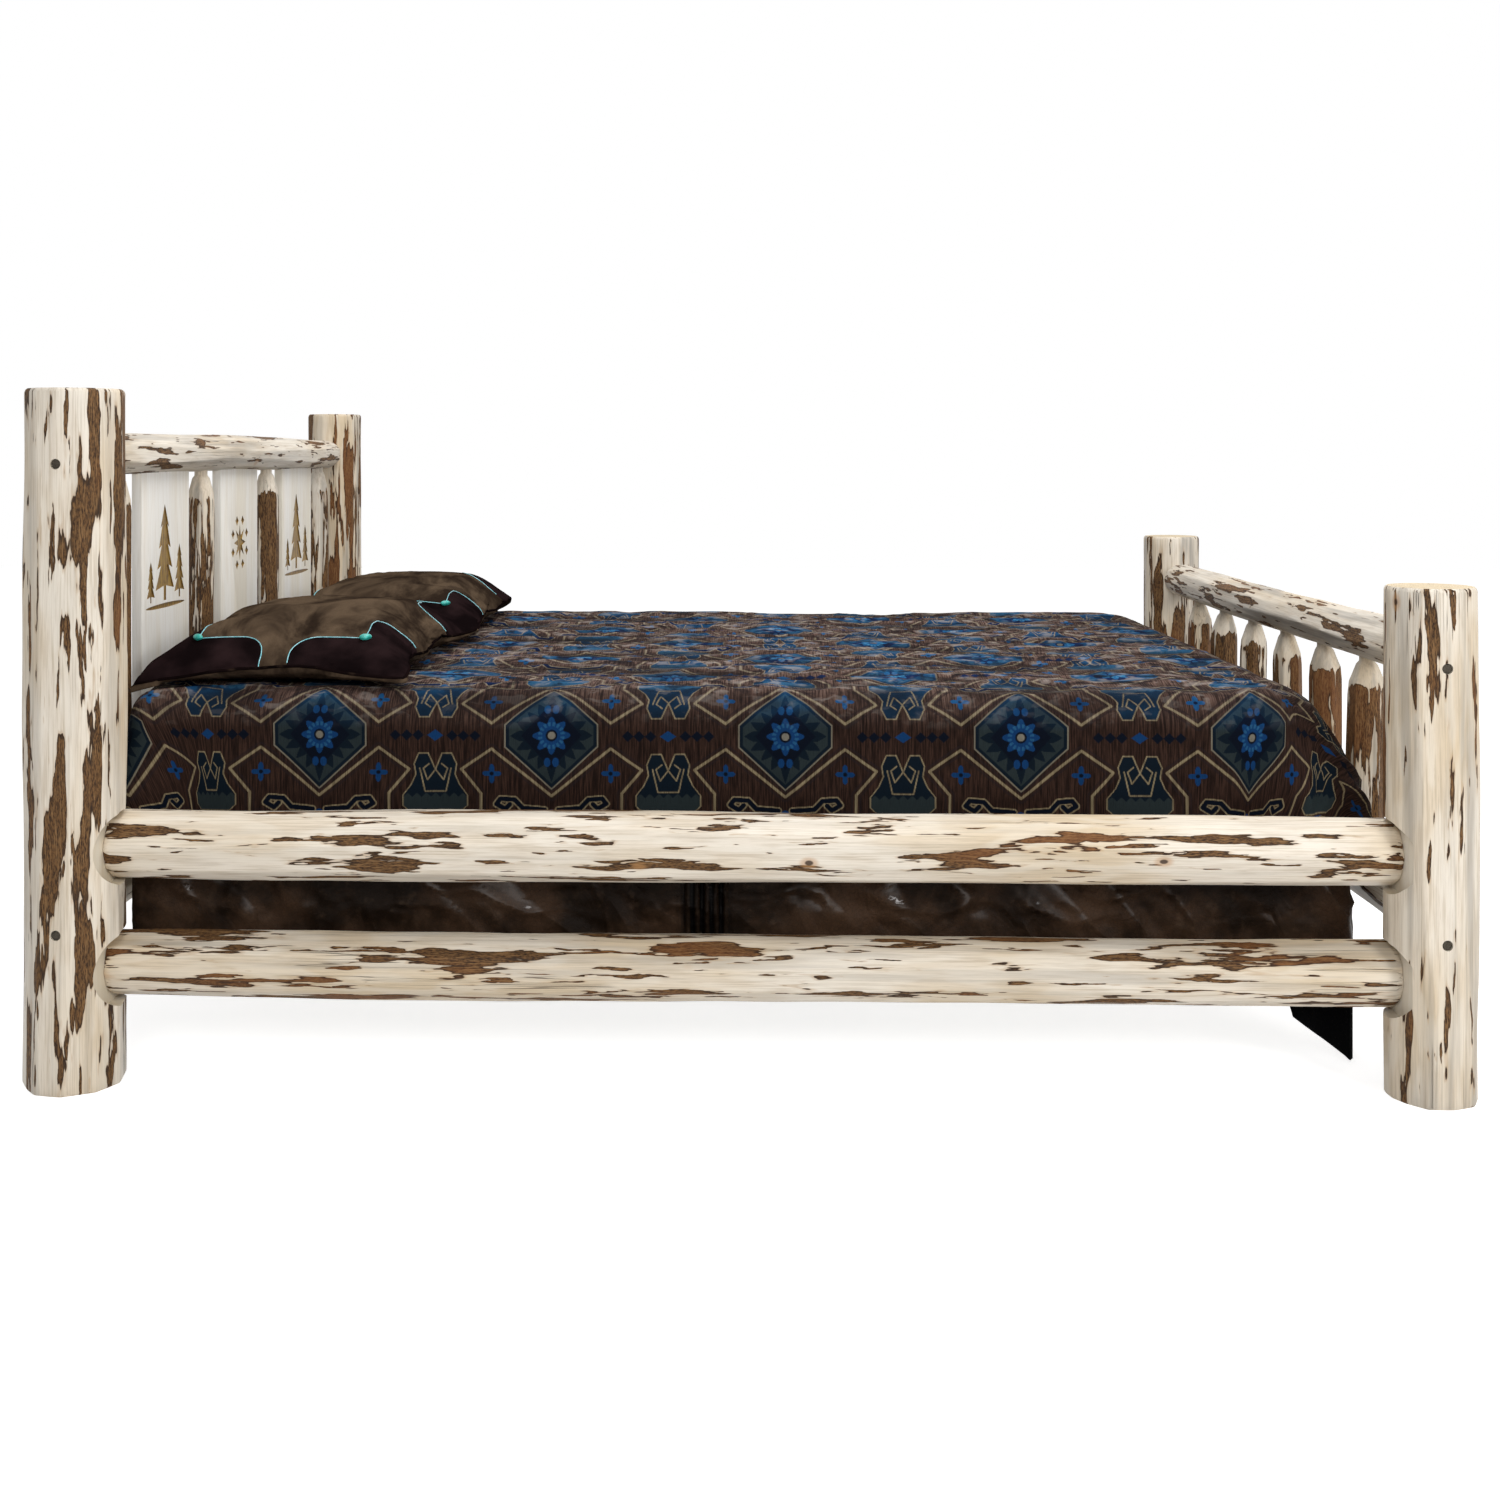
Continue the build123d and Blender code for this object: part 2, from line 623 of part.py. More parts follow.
# The bedspread hugs the mattress at the head and the sides. Its foot end, stuffed down behind the
# mattress, bulges towards the footboard.
def soft_box(low, top, grow, edge, flare, mode):
    """Lofts a box round the mattress, grow larger all round, with a sloped edge and a flared foot."""
    outlines = []
    for z, foot, pull in ((low, flare, 0), (top - edge, 0, 0), (top, 0, edge)):
        head_end = mattress_head - grow + pull
        foot_end = mattress_foot + grow + foot - pull
        width = mattress_width + 2 * (grow - pull)
        with BuildSketch(Plane(origin=((head_end + foot_end) / 2, mid_y, z))) as outline:
            RectangleRounded(foot_end - head_end, width, bed_corner_radius + grow - pull)
        outlines.append(outline.sketch)
    loft(outlines, ruled=True, mode=mode)


with BuildPart() as bedspread:
    spread_low = deck_top + spread_hem
    soft_box(spread_low, spread_top, slide_clearance + spread_thickness, soft_edge, spread_flare, Mode.ADD)
    pocket_top = mattress_top + slide_clearance
    soft_box(deck_top, pocket_top, slide_clearance, soft_edge / 2, 0, Mode.SUBTRACT)
save(bedspread.part, "bedspread")


# ---------------------------------------------------------------- pillows
def make_pillow(name, way):
    """A cushion with a crowned top and belly, pinched to a thin rim all round."""
    low = spread_top + slide_clearance
    centre_x = head_x + pillow_head_gap + pillow_width / 2
    centre_y = mid_y + way * (pillow_length + pillow_gap) / 2
    # (height, share of the pillow's size), from the flat belly it rests on up to its crown
    levels = (
        (0, 0.60),
        (0.18, 0.88),
        (0.38, 1),
        (0.38 + pillow_rim / pillow_height, 1),
        (0.84, 0.84),
        (1, 0.52),
    )
    with BuildPart() as pillow:
        outlines = []
        for height, size in levels:
            with BuildSketch(Plane(origin=(centre_x, centre_y, low + height * pillow_height))) as outline:
                Rectangle(pillow_width * size, pillow_length * size)
                chamfer(outline.vertices(), length=pillow_width * pillow_corner * size)
            outlines.append(outline.sketch)
        loft(outlines, ruled=True)
    save(pillow.part, name)


make_pillow("pillow_near", -1)
make_pillow("pillow_far", 1)
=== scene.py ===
import math
from collections import namedtuple

import bmesh
import bpy
import numpy as np
from mathutils import Matrix, Vector
from mathutils.bvhtree import BVHTree


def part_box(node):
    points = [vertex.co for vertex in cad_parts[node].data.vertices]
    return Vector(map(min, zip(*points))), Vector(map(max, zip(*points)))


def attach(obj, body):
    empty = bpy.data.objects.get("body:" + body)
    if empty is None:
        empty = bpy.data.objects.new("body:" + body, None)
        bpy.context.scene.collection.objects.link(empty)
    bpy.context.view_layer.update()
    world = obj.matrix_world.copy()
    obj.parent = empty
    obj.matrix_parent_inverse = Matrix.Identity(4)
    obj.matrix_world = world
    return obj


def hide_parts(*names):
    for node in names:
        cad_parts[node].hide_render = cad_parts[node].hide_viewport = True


# A queen-size bed of hand-peeled logs with its bedding. Metres; +X from the head to the foot, +Z up.
# The near side is -Y.

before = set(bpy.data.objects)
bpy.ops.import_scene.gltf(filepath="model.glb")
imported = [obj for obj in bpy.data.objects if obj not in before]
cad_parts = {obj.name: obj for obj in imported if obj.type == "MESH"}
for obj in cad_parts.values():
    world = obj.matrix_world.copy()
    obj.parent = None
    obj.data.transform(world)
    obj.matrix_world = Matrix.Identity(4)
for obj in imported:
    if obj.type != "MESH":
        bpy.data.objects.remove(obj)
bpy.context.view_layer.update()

# ---------------------------------------------------------------- sizes that the pieces share
HEAD_RAIL_RADIUS = 0.038
FOOT_RAIL_RADIUS = 0.042
LOW_RAIL_RADIUS = 0.036
END_TENON_RADIUS = 0.027
END_TENON_DEPTH = 0.062
END_NECK = 0.028
UPPER_RAIL_RADIUS = 0.058
LOWER_RAIL_RADIUS = 0.055
SIDE_TENON_RADIUS = 0.022
SIDE_TENON_LENGTH = 0.052
SIDE_EASE = 0.013
SIDE_INSET = 0.034
SEAT_SHARE = 0.67
HOUSING_RADIUS = 0.062
HEAD_SPINDLE_RADIUS = 0.027
FOOT_SPINDLE_RADIUS = 0.030
SPINDLE_TENON_RADIUS = 0.013
SPINDLE_TENON_REACH = 0.0285
SPINDLE_POINT = 0.062
COUNTERBORE_RADIUS = 0.015
COUNTERBORE_SHARE = 0.80
LAG_HOLE_RADIUS = 0.0086
LAG_SINK = 0.009
LAG_DROP = 0.017
LEDGER_FLAT = 0.046
LEDGER_PLAY = 0.0003
SHEET_THICKNESS = 0.0022
TOP_EASE = 0.007
HEAD_RAIL_HEIGHT = 1.056
FOOT_RAIL_HEIGHT = 0.727
LOW_RAIL_HEIGHT = 0.282
UPPER_HEIGHT = 0.393
LOWER_HEIGHT = 0.190


def middle(node):
    """Middle of a CAD node's box."""
    low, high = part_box(node)
    return (low + high) / 2


# way and inboard point to the bed's middle, along X and along Y.
Post = namedtuple("Post", "radius height way inboard seed bark grey")
# On the far posts the larger grey share is partly grey stain and partly painted shade.
POSTS = {
    "head_post_near": Post(0.082, 1.165, 1, 1, 3, 0.016, 0.35),
    "head_post_far": Post(0.071, 1.165, 1, -1, 11, 0.065, 0.6),
    "foot_post_near": Post(0.073, 0.838, -1, 1, 23, 0.0, 0.5),
    "foot_post_far": Post(0.072, 0.838, -1, -1, 37, 0.035, 0.7),
}


def post_axis(name):
    """Where a post's axis meets the floor."""
    place = middle(name)
    return Vector((place.x, place.y, 0))


def linear(red, green, blue):
    """A colour as seen on screen, 0 to 255, as the linear colour that a shader takes."""
    def one(level):
        share = level / 255
        return share / 12.92 if share <= 0.04045 else ((share + 0.055) / 1.055) ** 2.4
    return one(red), one(green), one(blue), 1


# ---------------------------------------------------------------- node trees, written as sums
class Signal:
    """A value that varies over a surface: an output socket, whose arithmetic adds Math nodes."""

    def __init__(self, tree, socket):
        self.tree, self.socket = tree, socket

    def math(self, operation, *others, clamp=False):
        node = self.tree.nodes.new("ShaderNodeMath")
        node.operation = operation
        node.use_clamp = clamp
        for place, value in enumerate((self, *others)):
            plug(self.tree, node.inputs[place], value)
        return Signal(self.tree, node.outputs[0])

    def vector(self, operation, *others):
        node = self.tree.nodes.new("ShaderNodeVectorMath")
        node.operation = operation
        for place, value in enumerate((self, *others)):
            plug(self.tree, node.inputs[place], value)
        scalar = operation in ("DISTANCE", "DOT_PRODUCT")
        return Signal(self.tree, node.outputs["Value" if scalar else "Vector"])

    def __add__(self, other):
        return self.math("ADD", other)

    def __sub__(self, other):
        return self.math("SUBTRACT", other)

    def __mul__(self, other):
        return self.math("MULTIPLY", other)

    def __truediv__(self, other):
        return self.math("DIVIDE", other)

    def least(self, other):
        return self.math("MINIMUM", other)

    def most(self, other):
        return self.math("MAXIMUM", other)

    def size(self):
        return self.math("ABSOLUTE")

    def inverse(self):
        """1 where the signal is 0, and 0 where it is 1."""
        return self.math("MULTIPLY_ADD", -1, 1)

    def fold(self, period):
        """Distance from the nearest whole multiple of the period."""
        return self.math("PINGPONG", period / 2)

    def rise(self, start, end):
        """0 before start, 1 after end, with a smooth slope between."""
        node = self.tree.nodes.new("ShaderNodeMapRange")
        node.interpolation_type = "SMOOTHSTEP"
        for place, value in enumerate((self, start, end, 0, 1)):
            plug(self.tree, node.inputs[place], value)
        return Signal(self.tree, node.outputs[0])

    def parts(self):
        node = self.tree.nodes.new("ShaderNodeSeparateXYZ")
        plug(self.tree, node.inputs[0], self)
        return [Signal(self.tree, socket) for socket in node.outputs]


def plug(tree, socket, value):
    """Links a signal to a socket, or sets a plain value on it."""
    if isinstance(value, Signal):
        tree.links.new(value.socket, socket)
    else:
        socket.default_value = value


def vector_of(tree, x, y, z):
    node = tree.nodes.new("ShaderNodeCombineXYZ")
    for place, value in enumerate((x, y, z)):
        plug(tree, node.inputs[place], value)
    return Signal(tree, node.outputs[0])


def noise(tree, place, scale, detail=2.0, roughness=0.5, warp=0.0):
    """Soft random values round 0.5."""
    node = tree.nodes.new("ShaderNodeTexNoise")
    plug(tree, node.inputs["Vector"], place)
    plug(tree, node.inputs["Scale"], scale)
    node.inputs["Detail"].default_value = detail
    node.inputs["Roughness"].default_value = roughness
    node.inputs["Distortion"].default_value = warp
    return Signal(tree, node.outputs[0])


def cells(tree, place, scale, feature="F1", wander=1.0):
    """Distance to the nearest of many scattered points, or to the edge of their cells."""
    node = tree.nodes.new("ShaderNodeTexVoronoi")
    node.feature = feature
    plug(tree, node.inputs["Vector"], place)
    plug(tree, node.inputs["Scale"], scale)
    node.inputs["Randomness"].default_value = wander
    return Signal(tree, node.outputs["Distance"])


# The Mix node's sockets for colours. Its other ones are for numbers and vectors.
MIX_FIRST, MIX_SECOND, MIX_RESULT = 6, 7, 2


def blend(tree, share, first, second):
    """Mixes two colours by a share from 0 to 1. Plain colours are given as seen on screen, 0 to 255."""
    node = tree.nodes.new("ShaderNodeMix")
    node.data_type = "RGBA"
    plug(tree, node.inputs[0], share)
    for socket, colour in ((MIX_FIRST, first), (MIX_SECOND, second)):
        plug(tree, node.inputs[socket], colour if isinstance(colour, Signal) else linear(*colour))
    return Signal(tree, node.outputs[MIX_RESULT])


def new_group(name, inputs, outputs):
    """An empty node group. inputs is {name: default}, outputs {name: socket type}."""
    tree = bpy.data.node_groups.new(name, "ShaderNodeTree")
    for title, default in inputs.items():
        kind = "NodeSocketVector" if default is None else "NodeSocketFloat"
        socket = tree.interface.new_socket(name=title, in_out="INPUT", socket_type=kind)
        if default is not None:
            socket.default_value = default
    for title, kind in outputs.items():
        tree.interface.new_socket(name=title, in_out="OUTPUT", socket_type=kind)
    source = tree.nodes.new("NodeGroupInput")
    sink = tree.nodes.new("NodeGroupOutput")
    return tree, {title: Signal(tree, source.outputs[title]) for title in inputs}, sink


def use_group(tree, group, **values):
    """Places a group in a tree and returns its outputs by name."""
    node = tree.nodes.new("ShaderNodeGroup")
    node.node_tree = group
    for title, value in values.items():
        plug(tree, node.inputs[title], value)
    return {socket.name: Signal(tree, socket) for socket in node.outputs}


def new_material(name):
    material = bpy.data.materials.new(name)
    material.use_nodes = True
    return material, material.node_tree, material.node_tree.nodes["Principled BSDF"]


def object_place(tree, turn=(0, 0, 0), shift=(0, 0, 0)):
    """Object coordinates, turned and then shifted."""
    source = tree.nodes.new("ShaderNodeTexCoord")
    node = tree.nodes.new("ShaderNodeMapping")
    tree.links.new(source.outputs["Object"], node.inputs["Vector"])
    node.inputs["Rotation"].default_value = turn
    node.inputs["Location"].default_value = shift
    return Signal(tree, node.outputs[0])


def stored(tree, name):
    """A value kept on the points of the mesh."""
    node = tree.nodes.new("ShaderNodeAttribute")
    node.attribute_name = name
    return Signal(tree, node.outputs["Fac"])


def dress(tree, shader, colour, roughness, height, depth):
    """Feeds colour, roughness and a bump of the given depth, in metres, to a shader."""
    plug(tree, shader.inputs["Base Color"], colour)
    plug(tree, shader.inputs["Roughness"], roughness)
    bump = tree.nodes.new("ShaderNodeBump")
    bump.inputs["Strength"].default_value = 1
    bump.inputs["Distance"].default_value = depth
    plug(tree, bump.inputs["Height"], height)
    tree.links.new(bump.outputs[0], shader.inputs["Normal"])


# ---------------------------------------------------------------- wood
def peeled_wood_group():
    """Drawknifed softwood. The log's axis is Z, and brown inner bark is left in pointed streaks."""
    tree, given, sink = new_group(
        "peeled_wood",
        {"Vector": None, "Seed": 0.0, "Bark": 0.05, "Stroke": 0.05, "Grey": 0.2},
        {"Color": "NodeSocketColor", "Roughness": "NodeSocketFloat", "Height": "NodeSocketFloat"},
    )
    seed = given["Seed"]
    offset = vector_of(tree, seed * 3.17, seed * 1.71, seed * 5.33)
    place = given["Vector"].vector("ADD", offset)
    strokes_per_metre = given["Stroke"].math("POWER", -1)

    def streaks(across, along, scale, detail=2.0, warp=0.0):
        stretched = place.vector("MULTIPLY", (across, across, along))
        return noise(tree, stretched, scale, detail, 0.55, warp)

    # The drawknife skips the hollows, and bark stays there in long pointed islands.
    ragged = streaks(6, 0.7, 34, 3)
    shear = vector_of(tree, (ragged - 0.5) * 0.007, (streaks(3, 0.4, 21, 2) - 0.5) * 0.014, 0.0)
    island_place = place.vector("ADD", shear).vector("MULTIPLY", (1, 1, 0.12))
    island = noise(tree, island_place, strokes_per_metre * 1.5, 3, 0.5)
    sliver = noise(tree, island_place.vector("MULTIPLY", (1, 1, 0.7)), strokes_per_metre * 3.6, 2, 0.5) - 0.045
    light_hand = streaks(0.35, 0.12, strokes_per_metre, 1)
    left = island.most(sliver) + (light_hand - 0.5) * 0.20 + (ragged - 0.5) * 0.05 + given["Bark"] - 0.60
    bark = left.rise(0.0, 0.008)
    rim = bark * left.rise(0.012, 0.040).inverse()
    halo = left.rise(-0.022, 0.0)

    warmth = streaks(0.6, 0.25, 9, 2)
    grain = streaks(9, 0.22, 42, 3)
    fibre = streaks(22, 0.7, 60, 2)
    pale = blend(tree, warmth.rise(0.35, 0.66), (230, 220, 205), (214, 195, 166))
    pale = blend(tree, grain.rise(0.44, 0.66) * 0.48, pale, (178, 160, 134))
    pale = blend(tree, fibre.rise(0.5, 0.75) * 0.26, pale, (172, 155, 130))
    strokes = streaks(1.7, 0.33, 30, 1).rise(0.42, 0.6)
    pale = blend(tree, strokes * 0.28, pale, (242, 236, 224))
    # Grey stain; where the grey share is high, as on the far posts, it is partly painted shade.
    stain = streaks(1.9, 0.10, 17, 3)
    grey_stain_and_shade = stain.rise(0.48, 0.68) * given["Grey"]
    pale = blend(tree, grey_stain_and_shade, pale, (138, 132, 124))
    pale = blend(tree, halo * 0.38, pale, (178, 142, 100))

    speckle = streaks(6, 1.5, 90, 4)
    inner = blend(tree, speckle.rise(0.36, 0.64), (48, 32, 19), (112, 80, 48))
    inner = blend(tree, streaks(14, 0.8, 40, 2).rise(0.5, 0.64) * 0.5, inner, (154, 118, 78))
    inner = blend(tree, warmth.rise(0.5, 0.62) * 0.35, inner, (136, 84, 46))
    inner = blend(tree, rim * 0.8, inner, (40, 28, 20))
    colour = blend(tree, bark, pale, inner)

    # Knots: a dark heart in a tan ring, longer along the log.
    knot_place = place.vector("MULTIPLY", (1, 1, 0.62))
    knot = cells(tree, knot_place, 6.2)
    heart = knot.rise(0.020, 0.034).inverse()
    ring = knot.rise(0.036, 0.078).inverse()
    colour = blend(tree, ring * 0.5, colour, (186, 138, 88))
    colour = blend(tree, heart * 0.9, colour, (48, 30, 20))

    # Drying checks, long and thin.
    check = streaks(5, 0.05, 13, 2)
    crack = (check - 0.5).size().rise(0.0, 0.006).inverse() * streaks(1, 0.4, 5, 1).rise(0.57, 0.62)
    colour = blend(tree, crack * 0.7, colour, (70, 52, 38))

    height = bark * -0.55 + speckle * bark * 0.5 + grain * 0.18 - heart * 0.4 - crack * 0.7
    roughness = bark * 0.28 + 0.42
    for title, value in (("Color", colour), ("Roughness", roughness), ("Height", height)):
        plug(tree, sink.inputs[title], value)
    return tree


def end_grain_group():
    """A sawn log end: growth rings round the pith and a few radial checks."""
    tree, given, sink = new_group(
        "end_grain",
        {"Vector": None, "Seed": 0.0},
        {"Color": "NodeSocketColor", "Height": "NodeSocketFloat"},
    )
    x, y, _ = given["Vector"].parts()
    flat = vector_of(tree, x, y, given["Seed"])
    wobble = noise(tree, flat, 22, 2) - 0.5
    radius = (x * x + y * y).math("SQRT") + wobble * 0.008
    rings = (radius * (2 * math.pi / 0.0042)).math("SINE")
    angle = y.math("ARCTAN2", x)
    spokes = noise(tree, vector_of(tree, angle * 2.2, radius * 6, given["Seed"]), 2.2, 2)
    crack = (spokes - 0.5).size().rise(0.0, 0.012).inverse() * radius.rise(0.004, 0.012)
    saw = noise(tree, vector_of(tree, x, y * 9.0, 0.0), 30, 2)
    colour = blend(tree, rings.rise(-0.2, 0.9) * 0.5, (226, 208, 174), (188, 152, 108))
    colour = blend(tree, saw.rise(0.4, 0.7) * 0.3, colour, (208, 198, 180))
    colour = blend(tree, crack * 0.55, colour, (92, 70, 50))
    plug(tree, sink.inputs["Color"], colour)
    plug(tree, sink.inputs["Height"], rings * 0.3 + saw * 0.5 - crack)
    return tree


def board_group():
    """Planed or sawn softwood boards, with the grain along Z."""
    tree, given, sink = new_group(
        "board_grain",
        {"Vector": None, "Seed": 0.0, "Contrast": 0.5},
        {"Color": "NodeSocketColor", "Height": "NodeSocketFloat"},
    )
    seed = given["Seed"]
    place = given["Vector"].vector("ADD", vector_of(tree, seed * 2.3, seed * 1.3, seed * 4.1))
    arches = noise(tree, place.vector("MULTIPLY", (7, 7, 0.55)), 3.2, 2, 0.45, 0.3)
    bands = (arches * 46).math("SINE").rise(-0.1, 1.0)
    fibre = noise(tree, place.vector("MULTIPLY", (30, 30, 0.8)), 20, 3)
    broad = noise(tree, place.vector("MULTIPLY", (5, 5, 0.4)), 2.4, 2)
    colour = blend(tree, broad.rise(0.35, 0.65), (246, 243, 237), (236, 228, 212))
    colour = blend(tree, bands * given["Contrast"] * 0.42, colour, (200, 172, 130))
    colour = blend(tree, fibre.rise(0.45, 0.7) * 0.25, colour, (196, 184, 162))
    knot = cells(tree, place.vector("MULTIPLY", (1, 1, 0.7)), 3.4)
    colour = blend(tree, knot.rise(0.03, 0.10).inverse() * 0.55, colour, (178, 128, 78))
    colour = blend(tree, knot.rise(0.018, 0.032).inverse() * 0.8, colour, (96, 62, 38))
    plug(tree, sink.inputs["Color"], colour)
    plug(tree, sink.inputs["Height"], fibre * 0.5 + bands * 0.3)
    return tree


PEELED = peeled_wood_group()
END_GRAIN = end_grain_group()
BOARD = board_group()
QUARTER = math.pi / 2
# The turn that stands each axis up along Z.
UPRIGHT = {"X": (0, -QUARTER, 0), "Y": (QUARTER, 0, 0), "Z": (0, 0, 0)}
BARK_FADE = 0.03


def log_place(tree, axis, point):
    """Object coordinates turned so that a log's pith, which runs through the point, is the Z axis."""
    shifts = {"X": (point.z, -point.y, 0), "Y": (-point.x, point.z, 0), "Z": (-point.x, -point.y, 0)}
    return object_place(tree, UPRIGHT[axis], shifts[axis])


def log_materials(name, axis, point, seed, bark, stroke, grey, clean=None):
    """Peeled side and sawn end of one log. clean is the lowest and highest place that may keep bark."""
    side, tree, shader = new_material(f"{name}_peeled")
    place = log_place(tree, axis, point)
    if clean:
        low, high = clean
        along = place.parts()[2]
        pared = along.rise(low, low + BARK_FADE).inverse() + along.rise(high - BARK_FADE, high)
        bark = pared * -0.3 + bark
    wood = use_group(tree, PEELED, Vector=place, Seed=float(seed), Bark=bark, Stroke=stroke, Grey=grey)
    dress(tree, shader, wood["Color"], wood["Roughness"], wood["Height"], 0.0022)
    shader.inputs["Specular IOR Level"].default_value = 0.2
    shader.inputs["Coat Weight"].default_value = 0.03
    shader.inputs["Coat Roughness"].default_value = 0.35
    end, tree, shader = new_material(f"{name}_end")
    wood = use_group(tree, END_GRAIN, Vector=log_place(tree, axis, point), Seed=float(seed))
    dress(tree, shader, wood["Color"], 0.6, wood["Height"], 0.0005)
    return [side, end]


def board_material(name, turn, seed, contrast):
    material, tree, shader = new_material(name)
    wood = use_group(tree, BOARD, Vector=object_place(tree, turn), Seed=float(seed), Contrast=contrast)
    dress(tree, shader, wood["Color"], 0.52, wood["Height"], 0.0004)
    return material


# ---------------------------------------------------------------- shapes that the pieces share
def swell(points, wavelength, seed, waves=8):
    """Smooth random heights of about -1 to 1: a sum of plane waves in seeded directions."""
    chance = np.random.default_rng(seed)
    scaled = points / np.asarray(wavelength)
    total = np.zeros(len(points))
    for _ in range(waves):
        way = chance.normal(size=points.shape[1])
        way /= np.linalg.norm(way)
        pitch = chance.uniform(0.7, 1.4)
        total += np.sin(scaled @ way * 2 * math.pi / pitch + chance.uniform(0, 2 * math.pi))
    return total / waves ** 0.5


def read_points(mesh):
    points = np.empty(len(mesh.vertices) * 3)
    mesh.vertices.foreach_get("co", points)
    return points.reshape(-1, 3)


def write_points(mesh, points):
    mesh.vertices.foreach_set("co", points.ravel())
    mesh.update()


# Faces that meet at a larger angle than this look sharp.
CRISP, ROUND, SEAMLESS = math.radians(38), math.radians(60), math.pi


def new_object(name, data):
    """Puts a mesh, a lamp or a camera into the scene."""
    thing = bpy.data.objects.new(name, data)
    bpy.context.scene.collection.objects.link(thing)
    return thing


def finish_shading(mesh, crisp):
    mesh.polygons.foreach_set("use_smooth", [True] * len(mesh.polygons))
    mesh.set_sharp_from_angle(angle=crisp)


def new_piece(name, shape, materials, body, replaces=(), crisp=CRISP):
    """Makes a piece of a bmesh, smooth but for its sharp edges, hangs it on its body and hides the CAD parts that it
    replaces.
    """
    mesh = bpy.data.meshes.new(name)
    shape.to_mesh(mesh)
    shape.free()
    piece = new_object(name, mesh)
    for material in materials:
        mesh.materials.append(material)
    finish_shading(mesh, crisp)
    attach(piece, body)
    if replaces:
        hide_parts(*replaces)
    return piece


def apply_modifiers(piece):
    bpy.context.view_layer.update()
    ready = piece.evaluated_get(bpy.context.evaluated_depsgraph_get())
    result = bpy.data.meshes.new_from_object(ready)
    old = piece.data
    piece.modifiers.clear()
    piece.data = result
    result.name = old.name
    bpy.data.meshes.remove(old)


def cut(piece, cutter):
    """Cuts a closed bmesh out of a piece. The cut faces keep the cutter's material index."""
    mesh = bpy.data.meshes.new("cutter")
    cutter.to_mesh(mesh)
    cutter.free()
    for material in piece.data.materials:
        mesh.materials.append(material)
    tool = new_object("cutter", mesh)
    modifier = piece.modifiers.new("cut", "BOOLEAN")
    modifier.operation = "DIFFERENCE"
    modifier.solver = "EXACT"
    modifier.object = tool
    apply_modifiers(piece)
    if not piece.data.polygons:
        raise ValueError(f"{piece.name} was cut away whole")
    bpy.data.objects.remove(tool)
    bpy.data.meshes.remove(mesh)
    finish_shading(piece.data, CRISP)


def box_shape(size, centre):
    shape = bmesh.new()
    bmesh.ops.create_cube(shape, size=1)
    bmesh.ops.scale(shape, vec=size, verts=shape.verts)
    bmesh.ops.translate(shape, vec=centre, verts=shape.verts)
    return shape


def round_off(shape, edges, offset, segments):
    bmesh.ops.bevel(
        shape, geom=edges, offset=offset, segments=segments, profile=0.5, affect="EDGES", material=-1,
    )


def extrude(shape, faces, way):
    """Pulls flat faces out into a solid."""
    made = bmesh.ops.extrude_face_region(shape, geom=faces)
    raised = [v for v in made["geom"] if isinstance(v, bmesh.types.BMVert)]
    bmesh.ops.translate(shape, vec=way, verts=raised)


def move_points(shape, points):
    for vertex, place in zip(shape.verts, points):
        vertex.co = place


def turn_to(axis):
    """The turn that lays a shape made along Z along another axis."""
    turns = {"X": Matrix.Rotation(QUARTER, 4, "Y"), "Y": Matrix.Rotation(-QUARTER, 4, "X")}
    return turns.get(axis, Matrix.Identity(4))


# The order of a log's materials.
SIDE_FACE, END_FACE, CUT_FACE = 0, 1, 2


def add_bore(shape, axis, start, end, radius, sides):
    """Adds a closed round bar to a cutter, between two points on one axis."""
    start, end = Vector(start), Vector(end)
    made = bmesh.ops.create_cone(
        shape, cap_ends=True, segments=sides, radius1=radius, radius2=radius, depth=(end - start).length,
    )
    matrix = Matrix.Translation((start + end) / 2) @ turn_to(axis)
    bmesh.ops.transform(shape, matrix=matrix, verts=made["verts"])
    for face in {f for v in made["verts"] for f in v.link_faces}:
        face.material_index = CUT_FACE


def facets_at(angle, along, seed, flats, depth):
    """Share of the radius at which a hewn log's surface lies: flats that drift and change in depth."""
    chance = np.random.default_rng(seed)
    softness = 170.0
    total = np.zeros(len(angle))
    for i in range(flats):
        drift = 0.16 * np.sin(along / chance.uniform(0.18, 0.42) + chance.uniform(0, 6.3))
        centre = 2 * math.pi * (i + chance.uniform(-0.28, 0.28)) / flats + drift
        strokes = np.sin(along / chance.uniform(0.035, 0.09) + chance.uniform(0, 6.3))
        long_strokes = np.sin(along / chance.uniform(0.10, 0.22) + chance.uniform(0, 6.3))
        level = math.cos(math.pi / flats) * (1 + depth * (0.55 * long_strokes + 0.45 * strokes))
        facing = np.cos(angle - centre)
        reach = np.where(facing > 0.4, level / np.maximum(facing, 0.4), 9.0)
        total += np.exp(-softness * reach)
    return -np.log(total) / softness


